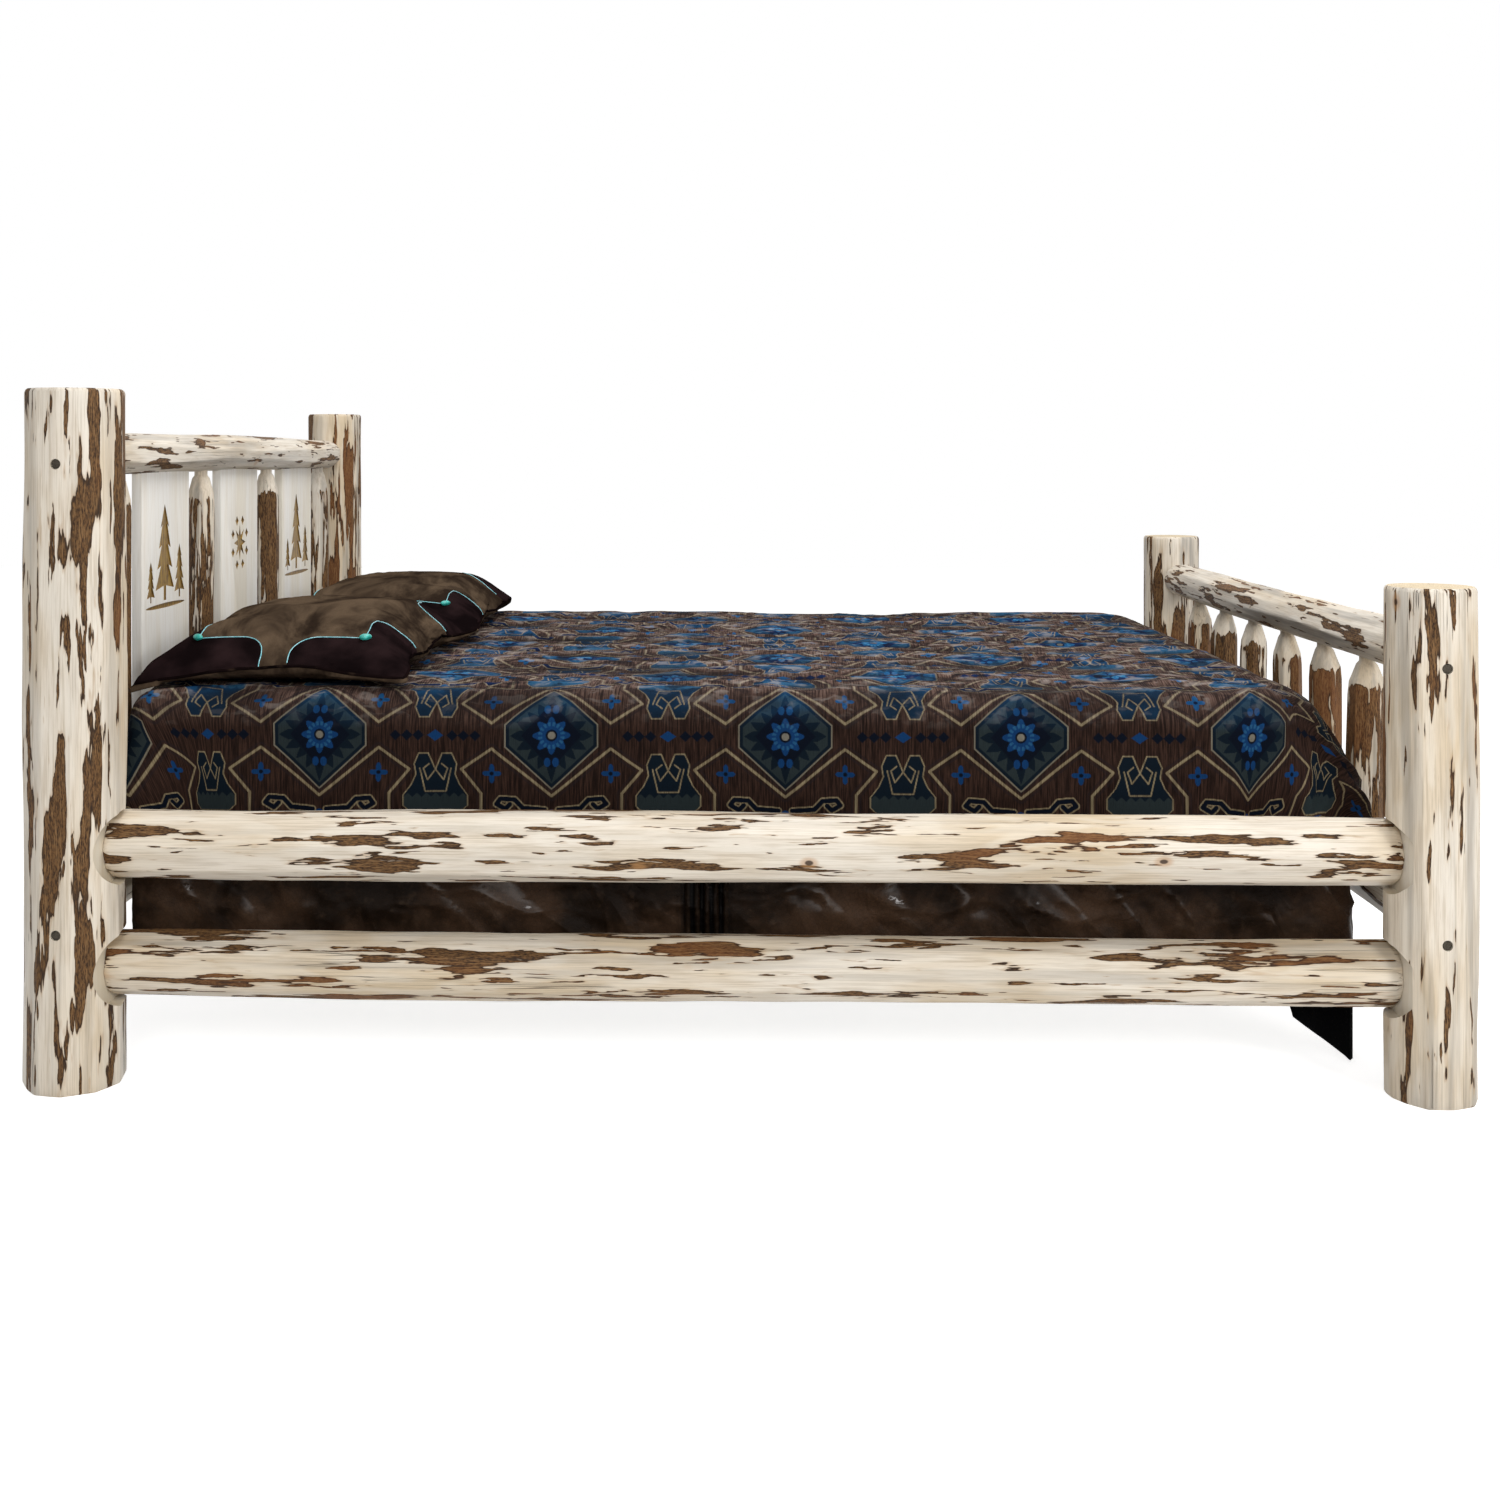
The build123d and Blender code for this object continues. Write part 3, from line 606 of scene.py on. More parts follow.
def hewn_log(name, axis, start, profile, hewn, materials, replaces, around=72, step=0.016):
    """A log along an axis from start. profile lists (distance, radius, share of hewing) in metres."""
    seed, flats, depth, crook = hewn
    stations = []
    for (near, _, _), (far, _, _) in zip(profile, profile[1:]):
        count = max(1, round((far - near) / step))
        stations += [near + (far - near) * i / count for i in range(count)]
    stations.append(profile[-1][0])
    shape = bmesh.new()
    bmesh.ops.create_cone(shape, cap_ends=True, segments=around, radius1=1, radius2=1, depth=1)
    uprights = [e for e in shape.edges if abs(e.verts[0].co.z - e.verts[1].co.z) > 0.5]
    bmesh.ops.subdivide_edges(shape, edges=uprights, cuts=len(stations) - 2)
    for face in shape.faces:
        face.material_index = END_FACE if len(face.verts) > 4 else SIDE_FACE
    shape.verts.ensure_lookup_table()
    points = np.array([v.co for v in shape.verts])
    ring = np.rint((points[:, 2] + 0.5) * (len(stations) - 1)).astype(int)
    along = np.array(stations)[ring]
    angle = np.arctan2(points[:, 1], points[:, 0])
    distances, radii, shares = np.array(profile).T
    girth = np.interp(along, distances, radii)
    share = np.interp(along, distances, shares)
    facets = facets_at(angle, along, seed, flats, depth)
    girth = girth * (1 - share + share * facets / np.mean(facets))
    length = distances[-1]
    bow = crook * share * np.sin(math.pi * along / length)
    wobble = 0.35 * crook * share * np.sin(2.6 * math.pi * along / length + seed)
    x = girth * np.cos(angle) + bow * math.cos(seed) + wobble * math.sin(seed)
    y = girth * np.sin(angle) + bow * math.sin(seed) - wobble * math.cos(seed)
    move_points(shape, np.column_stack((x, y, along)))
    bmesh.ops.transform(shape, matrix=Matrix.Translation(start) @ turn_to(axis), verts=shape.verts)
    bmesh.ops.recalc_face_normals(shape, faces=shape.faces)
    return new_piece(name, shape, materials, "bed", replaces)


def two_ended(length, first_end, middle, last_end):
    """A log's profile. Both ends list (distance from that end, radius, share of hewing)."""
    return first_end + [middle] + [(length - distance, *rest) for distance, *rest in reversed(last_end)]


# ---------------------------------------------------------------- posts
def seat_plane(name):
    """X of the flat seats of a post's side rails."""
    post = POSTS[name]
    return post_axis(name).x + post.way * SEAT_SHARE * post.radius


def seat_cutter(name, z):
    """The housing of a side rail: round on the outer side, open on the inner one."""
    post = POSTS[name]
    shape = bmesh.new()
    bmesh.ops.create_circle(shape, cap_ends=True, segments=96, radius=HOUSING_RADIUS)
    for vertex in shape.verts:
        if vertex.co.y * post.inboard > 1e-6:
            vertex.co.y += post.inboard * 2 * post.radius
    bmesh.ops.transform(shape, matrix=turn_to("X"), verts=shape.verts)
    extrude(shape, shape.faces[:], (post.way * post.radius, 0, 0))
    bmesh.ops.translate(shape, vec=(seat_plane(name), post_axis(name).y, z), verts=shape.verts)
    bmesh.ops.recalc_face_normals(shape, faces=shape.faces)
    for face in shape.faces:
        face.material_index = CUT_FACE
    return shape


def fresh_cut_material(name, point, seed):
    """Smooth, freshly cut wood across a post."""
    material, tree, shader = new_material(f"{name}_cut")
    wood = use_group(tree, BOARD, Vector=log_place(tree, "Z", point), Seed=float(seed), Contrast=0.35)
    colour = blend(tree, 0.5, wood["Color"], (196, 180, 150))
    dress(tree, shader, colour, 0.55, wood["Height"], 0.0004)
    return material


def make_post(name):
    """An upright with housings and bolt holes for two side rails, and lag holes for two end rails."""
    post, foot = POSTS[name], post_axis(name)
    radius, height = post.radius, post.height
    materials = log_materials(name, "Z", foot, post.seed, post.bark, 0.048, post.grey)
    materials.append(fresh_cut_material(name, foot, post.seed))
    profile = [
        (0, radius * 0.96, 0.9),
        (TOP_EASE * 0.5, radius * 0.985, 1),
        (height * 0.3, radius * 0.985, 1),
        (height * 0.7, radius, 1),
        (height - TOP_EASE, radius * 0.985, 0.8),
        (height - TOP_EASE * 0.35, radius * 0.965, 0.7),
        (height, radius * 0.93, 0.7),
    ]
    hewn = (post.seed, 14, 0.016, 0.0)
    log = hewn_log(name + "_log", "Z", foot, profile, hewn, materials, [name], 112)
    bores = bmesh.new()
    far_out = 2 * radius
    for z in (UPPER_HEIGHT, LOWER_HEIGHT):
        cut(log, seat_cutter(name, z))
        y = foot.y + post.inboard * SIDE_INSET
        floor = foot.x - post.way * COUNTERBORE_SHARE * radius
        add_bore(bores, "X", (floor, y, z), (floor - post.way * far_out, y, z), COUNTERBORE_RADIUS, 48)
    top = HEAD_RAIL_HEIGHT if post.way == 1 else FOOT_RAIL_HEIGHT
    for z in (top - LAG_DROP, LOW_RAIL_HEIGHT - LAG_DROP):
        floor = foot.y - post.inboard * (radius - LAG_SINK)
        outside = floor - post.inboard * far_out
        add_bore(bores, "Y", (foot.x, floor, z), (foot.x, outside, z), LAG_HOLE_RADIUS, 32)
    cut(log, bores)


for post_name in POSTS:
    make_post(post_name)


# ---------------------------------------------------------------- rails of the headboard and the footboard
def make_end_rail(name, end, z, radius, seed, grey):
    """One rail between a near and a far post, necked down to a round tenon at each end."""
    near, far = post_axis(f"{end}_post_near"), post_axis(f"{end}_post_far")
    start = near.y + POSTS[f"{end}_post_near"].radius - END_TENON_DEPTH
    finish = far.y - POSTS[f"{end}_post_far"].radius + END_TENON_DEPTH
    shoulder, length = END_TENON_DEPTH, finish - start
    tip = [
        (0, END_TENON_RADIUS, 0),
        (shoulder - 0.004, END_TENON_RADIUS, 0),
        (shoulder, radius * 0.80, 0.5),
        (shoulder + END_NECK * 0.45, radius * 0.92, 0.9),
        (shoulder + END_NECK, radius * 0.97, 1),
    ]
    profile = two_ended(length, tip, (length * 0.45, radius, 1), tip)
    origin = Vector((near.x, start, z))
    materials = log_materials(name, "Y", origin, seed, 0.0, 0.036, grey)
    hewn_log(name + "_log", "Y", origin, profile, (seed, 11, 0.030, 0.003), materials, [name])


make_end_rail("head_top_rail", "head", HEAD_RAIL_HEIGHT, HEAD_RAIL_RADIUS, 5, 0.5)
make_end_rail("head_bottom_rail", "head", LOW_RAIL_HEIGHT, LOW_RAIL_RADIUS, 14, 0.2)
make_end_rail("foot_top_rail", "foot", FOOT_RAIL_HEIGHT, FOOT_RAIL_RADIUS, 26, 0.7)
make_end_rail("foot_bottom_rail", "foot", LOW_RAIL_HEIGHT, LOW_RAIL_RADIUS, 31, 0.2)


# ---------------------------------------------------------------- spindles
def make_spindle(name, top_z, top_radius, radius, seed):
    """An upright with long faceted points, like a pencil's, and a round tenon at each end."""
    place = middle(name)
    low = LOW_RAIL_HEIGHT + LOW_RAIL_RADIUS - SPINDLE_TENON_REACH + 0.0025
    high = top_z - top_radius + SPINDLE_TENON_REACH - 0.0025
    length, tenon = high - low, SPINDLE_TENON_RADIUS
    neck = SPINDLE_TENON_REACH + 0.003

    def tip(part_way, full):
        return [
            (0, tenon, 0),
            (neck, tenon, 0),
            (neck + 0.006, tenon * 1.32, 0.6),
            (neck + SPINDLE_POINT * 0.62, radius * part_way, 1),
            (neck + SPINDLE_POINT, radius * full, 1),
        ]

    profile = two_ended(length, tip(0.93, 0.99), (length * 0.5, radius, 1), tip(0.92, 0.98))
    origin = Vector((place.x, place.y, low))
    bark = 0.125 if name.startswith("head") else 0.15
    bare = neck + SPINDLE_POINT * 0.4
    materials = log_materials(name, "Z", origin, seed, bark, 0.044, 0.6, (low + bare, high - bare))
    hewn = (seed, 8, 0.022, 0.0025)
    hewn_log(name + "_log", "Z", origin, profile, hewn, materials, [name], 56, 0.012)


for i in range(4):
    make_spindle(f"head_spindle_{i + 1}", HEAD_RAIL_HEIGHT, HEAD_RAIL_RADIUS, HEAD_SPINDLE_RADIUS, 41 + 7 * i)
for i in range(6):
    make_spindle(f"foot_spindle_{i + 1}", FOOT_RAIL_HEIGHT, FOOT_RAIL_RADIUS, FOOT_SPINDLE_RADIUS, 83 + 5 * i)


# ---------------------------------------------------------------- side rails
def make_side_rail(side, level, seed, bark, patch, grey):
    """A long log, butted on the posts' flat seats, with a round tenon in each."""
    name = f"side_rail_{side}_{level}"
    radius = UPPER_RAIL_RADIUS if level == "upper" else LOWER_RAIL_RADIUS
    z = UPPER_HEIGHT if level == "upper" else LOWER_HEIGHT
    inboard = 1 if side == "near" else -1
    y = post_axis(f"head_post_{side}").y + inboard * SIDE_INSET
    head_end, foot_end = seat_plane(f"head_post_{side}"), seat_plane(f"foot_post_{side}")
    tenon, reach = SIDE_TENON_RADIUS, SIDE_TENON_LENGTH
    length = foot_end - head_end + 2 * reach

    def tip(butt, eased, full):
        return [
            (0, tenon, 0),
            (reach, tenon, 0),
            (reach + 0.0004, radius * butt, 0.8),
            (reach + SIDE_EASE * 0.3, radius * eased, 0.9),
            (reach + SIDE_EASE, radius * full, 1),
        ]

    profile = two_ended(length, tip(0.90, 0.94, 0.965), (length * 0.45, radius, 1), tip(0.88, 0.93, 0.96))
    origin = Vector((head_end - reach, y, z))
    materials = log_materials(name, "X", origin, seed, bark, patch, grey)
    hewn = (seed, 13, 0.016, 0.003)
    rail = hewn_log(name + "_log", "X", origin, profile, hewn, materials, [name], 72, 0.018)
    if level == "lower":
        low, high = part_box(f"ledger_{side}")
        flat_y = y + inboard * LEDGER_FLAT
        size = Vector((high.x - low.x + 2 * LEDGER_PLAY, 2 * radius, 2 * radius))
        centre = Vector(((low.x + high.x) / 2, flat_y + inboard * radius, low.z - LEDGER_PLAY + radius))
        cut(rail, box_shape(size, centre))


make_side_rail("near", "upper", 7, 0.0, 0.036, 0.2)
make_side_rail("near", "lower", 19, 0.034, 0.040, 0.4)
make_side_rail("far", "upper", 29, 0.0, 0.036, 0.2)
make_side_rail("far", "lower", 47, 0.03, 0.038, 0.3)

# ---------------------------------------------------------------- engraved headboard panels
MOTIF_DEPTH = 0.0025
TREE_TIERS = 4
TREE_HALF_WIDTH = 0.27
TRUNK_HALF_WIDTH = 0.035
TRUNK_SHARE = 0.15
TIER_NOTCH = 0.42
BURNT_FACE = 1  # the place of the burnt wood among a panel's materials


def tree_outline(height):
    """Corners of a pine tree with stepped tiers, in (across, up), from its foot."""
    right = [(TRUNK_HALF_WIDTH, 0), (TRUNK_HALF_WIDTH, TRUNK_SHARE)]
    rise = (1 - TRUNK_SHARE) / TREE_TIERS
    for tier in range(TREE_TIERS):
        half = TREE_HALF_WIDTH * (1 - 0.72 * tier / TREE_TIERS)
        low = TRUNK_SHARE + tier * rise
        right.append((half, low - 0.035))
        if tier < TREE_TIERS - 1:
            right.append((half * TIER_NOTCH, low + rise))
    outline = right + [(0, 1)] + [(-x, z) for x, z in reversed(right)]
    return [(x * height, z * height) for x, z in outline]


def star_outline(radius, points=8, waist=0.42):
    """Corners of a star, in (across, up), round its middle."""
    corners = []
    for i in range(2 * points):
        reach = radius * (1 if i % 2 == 0 else waist)
        corners.append((reach * math.sin(math.pi * i / points), reach * math.cos(math.pi * i / points)))
    return corners


def ellipse_outline(half_width, half_height, sides=36):
    turns = [2 * math.pi * i / sides for i in range(sides)]
    return [(half_width * math.cos(a), half_height * math.sin(a)) for a in turns]


def motif_cutter(face_x, shapes):
    """A cutter for recesses in a board's +X face. shapes lists (outline, y, z)."""
    cutter = bmesh.new()
    for outline, y, z in shapes:
        corners = [cutter.verts.new((face_x - MOTIF_DEPTH, y + a, z + up)) for a, up in outline]
        extrude(cutter, [cutter.faces.new(corners)], (4 * MOTIF_DEPTH, 0, 0))
    bmesh.ops.recalc_face_normals(cutter, faces=cutter.faces)
    for face in cutter.faces:
        face.material_index = BURNT_FACE
    return cutter


def burnt_material():
    """Wood scorched golden brown by an engraver."""
    material, tree, shader = new_material("burnt_engraving")
    place = object_place(tree)
    streak = noise(tree, place.vector("MULTIPLY", (30, 30, 3)), 7, 3)
    blotch = noise(tree, place, 60, 3)
    colour = blend(tree, streak.rise(0.35, 0.65), (160, 128, 58), (112, 82, 36))
    colour = blend(tree, blotch.rise(0.5, 0.72) * 0.6, colour, (74, 52, 26))
    dress(tree, shader, colour, 0.5, streak + blotch, 0.0006)
    return material


BURNT = burnt_material()


def panel_shapes(index, y):
    """Pine trees on the outer panels, and a star in a ring of lozenges on the middle one."""
    if index == 1:
        star_z, ring = 0.862, 0.052
        shapes = [(star_outline(0.040), y, star_z)]
        for i in range(8):
            angle = math.pi * (i + 0.5) / 4
            place = (y + ring * math.sin(angle), star_z + ring * math.cos(angle))
            shapes.append((star_outline(0.011, 4, 0.62), *place))
        return shapes
    tall_z = 0.775
    return [
        (tree_outline(0.185), y - 0.008, tall_z),
        (tree_outline(0.105), y + 0.073, tall_z),
        (tree_outline(0.078), y - 0.083, tall_z),
        (ellipse_outline(0.105, 0.0045), y - 0.004, tall_z - 0.010),
    ]


def make_panel(index):
    node = f"head_panel_{index + 1}"
    low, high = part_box(node)
    shape = box_shape(high - low, (low + high) / 2)
    round_off(shape, shape.edges[:], 0.0015, 2)
    board = board_material(f"{node}_board", UPRIGHT["Z"], 3 + 5 * index, 0.22)
    panel = new_piece(f"{node}_engraved", shape, [board, BURNT], "bed", [node])
    cut(panel, motif_cutter(high.x, panel_shapes(index, middle(node).y)))


for panel_index in range(3):
    make_panel(panel_index)


# ---------------------------------------------------------------- sawn boards and steel fasteners
def cover(node, material):
    """Gives a CAD node its material."""
    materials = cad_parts[node].data.materials
    materials.clear()
    materials.append(material)


for board, axis in (("ledger_near", "X"), ("ledger_far", "X"), *((f"slat_{i}", "Y") for i in range(1, 6)),
                    *((f"centre_leg_{i}", "Z") for i in range(1, 4))):
    cover(board, board_material(f"{board}_pine", UPRIGHT[axis], len(board) + middle(board).x, 0.8))


def steel_material():
    """Zinc plate with its spangle and some dirt, coloured dark to paint the shade of the holes that the lag heads sit
    in.
    """
    material, tree, shader = new_material("zinc_steel")
    place = object_place(tree)
    spangle = cells(tree, place, 420)
    dirt = noise(tree, place, 90, 3)
    colour = blend(tree, spangle, (78, 72, 64), (54, 50, 44))
    colour = blend(tree, dirt.rise(0.5, 0.75) * 0.6, colour, (34, 29, 24))
    dress(tree, shader, colour, dirt * 0.3 + 0.35, dirt, 0.0002)
    shader.inputs["Metallic"].default_value = 1
    return material


STEEL = steel_material()
for fastener in ("bed_bolts", "bolt_washers", "barrel_nuts", "tenon_lags", "ledger_screws", "slat_screws",
                 "leg_screws"):
    cover(fastener, STEEL)


# ---------------------------------------------------------------- the bedspread's woven figures
REPEAT_ALONG = 0.405
REPEAT_ACROSS = 0.546
FOLD_LINE = REPEAT_ACROSS / 4
HEAVY_LINE = 0.0023
FINE_LINE = 0.0012
# All the figures lie in one quarter of the repeat, in (along, across) from the middle of a medallion.
ZIGZAG = [(0, 0.105), (0.103, 0.022), (0.157, 0.059), (0.122, 0.100), (0.122, FOLD_LINE), (0.083, FOLD_LINE)]
RAM_HORN = [(0.012, 0.129), (0.050, 0.126), (0.064, 0.111), (0.088, 0.109), (0.095, 0.118), (0.080, 0.127),
            (0.072, 0.119)]
# The urn's lines are measured from its own middle line, half a repeat along.
URN_RIM = [(0.0286, 0.031), (0.012, 0.031), (0, 0.060), (0.014, 0.078), (0.021, 0.058), (0.011, 0.050)]
URN_COLLAR = [(0, 0.098), (0.018, 0.098), (0.027, 0.058)]
URN_WIDTHS = [(0.031, 0.0286), (0.050, 0.037), (0.068, 0.034), (0.086, 0.042), (0.104, 0.056), (0.122, 0.056),
              (0.133, 0.044)]
URN_TOP, URN_BASE = 0.031, 0.133


def line_distance(tree, place, corners):
    """Distance from a place to a line drawn through the corners."""
    nearest = None
    for start, end in zip(corners, corners[1:]):
        start, end = Vector((*start, 0)), Vector((*end, 0))
        way = end - start
        offset = place.vector("SUBTRACT", tuple(start))
        share = offset.vector("DOT_PRODUCT", tuple(way / way.length_squared)).math("ADD", 0, clamp=True)
        reach = tree.nodes.new("ShaderNodeVectorMath")
        reach.operation = "SCALE"
        reach.inputs[0].default_value = way
        plug(tree, reach.inputs["Scale"], share)
        distance = offset.vector("DISTANCE", Signal(tree, reach.outputs["Vector"]))
        nearest = distance if nearest is None else nearest.least(distance)
    return nearest


def inside(signal, edge=0.0, blur=0.0006):
    """1 where a signal is under an edge, 0 over it."""
    return signal.rise(edge - blur, edge + blur).inverse()


def polar(x, y):
    """Distance from the middle, and the angle round it."""
    return (x * x + y * y).math("SQRT"), y.math("ARCTAN2", x)


def width_at(tree, level, widths):
    """A width that changes in straight stretches with the level."""
    ramp = tree.nodes.new("ShaderNodeValToRGB")
    low, high = widths[0][0], widths[-1][0]
    most = max(width for _, width in widths)
    stops = ramp.color_ramp.elements
    while len(stops) < len(widths):
        stops.new(0.5)
    for stop, (where, width) in zip(stops, widths):
        stop.position = (where - low) / (high - low)
        stop.color = (width / most, width / most, width / most, 1)
    plug(tree, ramp.inputs[0], (level - low) * (1 / (high - low)))
    return Signal(tree, ramp.outputs[0]) * most


def kilim_group():
    """Woven medallions, urns and zigzags on a brown ground. The vector is the cloth's own place in metres.

    The second input is 1 where the cloth lies flat and 0 where it hangs; where it lies, every colour is painted
    lighter and bluer, a painted sheen and top light.
    """
    tree, given, sink = new_group(
        "kilim", {"Vector": None, "Lying": 0.0}, {"Color": "NodeSocketColor", "Height": "NodeSocketFloat"},
    )
    cloth = given["Vector"]

    # Each colour has a hanging copy and a lighter, bluer lying copy: painted sheen and top light where the cloth lies
    # flat.
    def with_painted_sheen(hanging, lying):
        return blend(tree, given["Lying"], hanging, lying)

    stepped = cloth.vector("SNAP", (0.0014, 0.0014, 1))
    across_cloth, down_cloth, _ = stepped.parts()
    u = across_cloth.fold(REPEAT_ALONG)
    v = down_cloth.fold(REPEAT_ACROSS)
    flip = v.math("GREATER_THAN", FOLD_LINE)
    u = u + flip * (u * -2 + REPEAT_ALONG / 2)
    v = v + flip * (v * -2 + REPEAT_ACROSS / 2)
    place = vector_of(tree, u, v, 0.0)
    w = u * -1 + REPEAT_ALONG / 2
    urn_place = vector_of(tree, w, v, 0.0)

    threads = cloth.vector("MULTIPLY", (1, 0.045, 1))
    slubs = noise(tree, threads, 420, 2)
    fine = noise(tree, threads, 1100, 1)
    ground = blend(tree, slubs.rise(0.34, 0.68), with_painted_sheen((27, 18, 15), (62, 48, 43)), with_painted_sheen((58, 41, 34), (126, 102, 92)))
    ground = blend(tree, fine.rise(0.5, 0.7) * 0.4, ground, with_painted_sheen((20, 14, 13), (44, 34, 33)))

    navy, teal = with_painted_sheen((9, 15, 26), (18, 40, 80)), with_painted_sheen((13, 23, 32), (28, 72, 110))
    leaf, blue = with_painted_sheen((37, 45, 47), (44, 92, 128)), with_painted_sheen((17, 52, 94), (40, 100, 148))
    pale_blue, cream = with_painted_sheen((34, 78, 114), (72, 136, 174)), with_painted_sheen((138, 125, 98), (158, 146, 128))

    # Medallion: a six-sided field with a fringe of leaves round a blue rosette.
    sides = (v + u * 0.925 - 0.093) / 1.362
    hexagon = (u - 0.080).most(sides)
    colour = blend(tree, inside(hexagon), ground, teal)
    radius, angle = polar(u, v)
    tooth = angle.fold(math.pi / 8) / (math.pi / 16)
    depth = hexagon * -1
    fringe = inside(depth - tooth * 0.019, 0.009) * depth.rise(0.0065, 0.0075)
    colour = blend(tree, fringe, colour, leaf)
    colour = blend(tree, inside(hexagon.size(), FINE_LINE), colour, (112, 106, 92))
    diamond = u + v * 0.9
    colour = blend(tree, inside(diamond, 0.052), colour, navy)
    petals = (angle * 8).math("COSINE") * 0.0055 + 0.027
    colour = blend(tree, inside(radius - petals), colour, blue)
    ring = (radius - 0.0195).size()
    colour = blend(tree, inside(ring, 0.0035) * tooth.rise(0.3, 0.6), colour, pale_blue)
    colour = blend(tree, inside(radius, 0.010), colour, navy)
    colour = blend(tree, inside(radius, 0.0065), colour, (112, 108, 98))
    bud = polar(u * 1.4 - 0.010, v - 0.046)[0]
    colour = blend(tree, inside(bud, 0.008), colour, blue)

    # Crosses in the zigzag's corners.
    reach, turn = polar(u - 0.103, v - 0.065)
    clover = (turn * 4).math("COSINE") * 0.005 + 0.0115
    colour = blend(tree, inside(reach - clover), colour, blue)
    colour = blend(tree, inside(reach, 0.0035), colour, navy)

    # A lozenge between dark leaves, half a repeat along.
    lozenge = w * 0.7 + v
    colour = blend(tree, inside(lozenge, 0.0098), colour, blue)
    blades = (w - 0.020).fold(0.020) * 0.95
    beside = w.rise(0.019, 0.021) * w.rise(0.078, 0.081).inverse()
    colour = blend(tree, inside(v - blades, 0.0) * beside, colour, navy)

    # Urn, with a notched rim.
    width = width_at(tree, v, URN_WIDTHS)
    level = v.rise(URN_TOP - 0.0004, URN_TOP + 0.0004) * v.rise(URN_BASE - 0.0004, URN_BASE + 0.0004).inverse()
    notch = inside(w * 2.42 + v, 0.060)
    body = inside(w - width) * level * notch.inverse()
    colour = blend(tree, body, colour, teal)
    belly = body * v.rise(0.100, 0.103) * inside(w.fold(0.016) - (v - 0.100), 0.0)
    colour = blend(tree, belly, colour, leaf)
    urn_side = inside((w - width).size(), FINE_LINE) * level
    urn_foot = inside((v - URN_BASE).size(), FINE_LINE) * inside(w, 0.044)
    fine_lines = urn_side.most(urn_foot)
    for figure in (URN_RIM, URN_COLLAR):
        fine_lines = fine_lines.most(inside(line_distance(tree, urn_place, figure), FINE_LINE))

    # Ram's horns round a lozenge, and the heavy zigzag over all.
    horn = line_distance(tree, place, RAM_HORN)
    colour = blend(tree, inside(horn, 0.0052), colour, navy)
    fine_lines = fine_lines.most(inside((horn - 0.0052).size(), FINE_LINE))
    centre = u * 0.42 - v + FOLD_LINE
    colour = blend(tree, inside(centre, 0.0085), colour, blue)
    heavy = line_distance(tree, place, ZIGZAG)
    colour = blend(tree, inside((heavy - 0.007).size(), 0.0018) * 0.55, colour, (34, 28, 30))
    lines = fine_lines.most(inside(heavy, HEAVY_LINE))
    thread_cream = blend(tree, slubs.rise(0.35, 0.65), with_painted_sheen((104, 92, 72), (122, 110, 94)), cream)
    colour = blend(tree, lines, colour, thread_cream)
    colour = blend(tree, fine.rise(0.4, 0.8) * 0.30, colour, (12, 11, 14))

    # Short wrinkles where the cloth lies: painted shade in their hollows and painted highlight on their ridges.
    wrinkle_shading = noise(tree, cloth.vector("MULTIPLY", (1, 1.5, 1)), 24, 3, 0.55, 0.4)
    colour = blend(tree, wrinkle_shading.rise(0.38, 0.48).inverse() * given["Lying"] * 0.9, colour, (15, 15, 21))
    colour = blend(tree, wrinkle_shading.rise(0.53, 0.66) * given["Lying"] * 0.5, colour, (172, 163, 156))

    across, down, _ = cloth.parts()
    ribs = (across * (2 * math.pi / 0.0022)).math("SINE") * (down * (2 * math.pi / 0.0016)).math("SINE")
    plug(tree, sink.inputs["Color"], colour)
    plug(tree, sink.inputs["Height"], ribs * 0.35 + slubs * 0.6 + lines * 0.5)
    return tree


def spread_material():
    material, tree, shader = new_material("kilim_spread")
    source = tree.nodes.new("ShaderNodeUVMap")
    source.uv_map = "cloth"
    woven = use_group(
        tree, kilim_group(), Vector=Signal(tree, source.outputs[0]), Lying=stored(tree, "lying"),
    )
    # Painted shade in the hollows of the top's creases, from the crease share kept on the mesh.
    colour = blend(tree, stored(tree, "crease") * 0.75, woven["Color"], (10, 10, 13))
    dress(tree, shader, colour, 0.8, woven["Height"], 0.0005)
    shader.inputs["Specular IOR Level"].default_value = 0.03
    return material


# ---------------------------------------------------------------- bedspread
SPREAD_TOP = 0.646
SPREAD_MID = 0.005
FLAT_BAND = 0.09
SIDE_BEND = 0.06
SPREAD_HALF = 0.7713
SPREAD_HEAD = -1.062
HEAD_BEND = 0.022
CORE_HALF = SPREAD_HALF - FLAT_BAND - SIDE_BEND
CORE_HEAD = SPREAD_HEAD + FLAT_BAND + SIDE_BEND
CORE_FOOT = 0.845
FOOT_REACH, FOOT_FALL = 0.146, 0.205
HEAD_BULGE = 0.016
TOP_SINK, TOP_SWING = -0.0035, 0.0080
SPREAD_SKIRTING = 0.386
SPREAD_GRID = 0.0108
MEDALLION_X = 0.073
MEDALLION_ROW = CORE_HALF + 0.2018


def edge_profile(distance, radius):
    """How far out and how high the cloth lies past an edge, by the distance along it."""
    flat = FLAT_BAND + SIDE_BEND - radius
    bend = np.clip((distance - flat) / radius, 0, math.pi / 2)
    out = np.minimum(distance, flat) + radius * np.sin(bend)
    drop = np.maximum(distance - flat - radius * math.pi / 2, 0)
    return out, SPREAD_TOP - radius * (1 - np.cos(bend)) - drop


def foot_profile(distance):
    """The same at the foot, where the cloth is stuffed down in a long slope."""
    turns = np.linspace(0, math.pi / 2, 60)
    across, fall = FOOT_REACH * np.sin(turns), FOOT_FALL * (1 - np.cos(turns))
    steps = np.concatenate(([0], np.cumsum(np.hypot(np.diff(across), np.diff(fall)))))
    along = np.clip(distance - FLAT_BAND, 0, None)
    out = np.minimum(distance, FLAT_BAND) + np.interp(along, steps, across)
    low = np.interp(along, steps, fall) + np.maximum(along - steps[-1], 0)
    return out, SPREAD_TOP - low


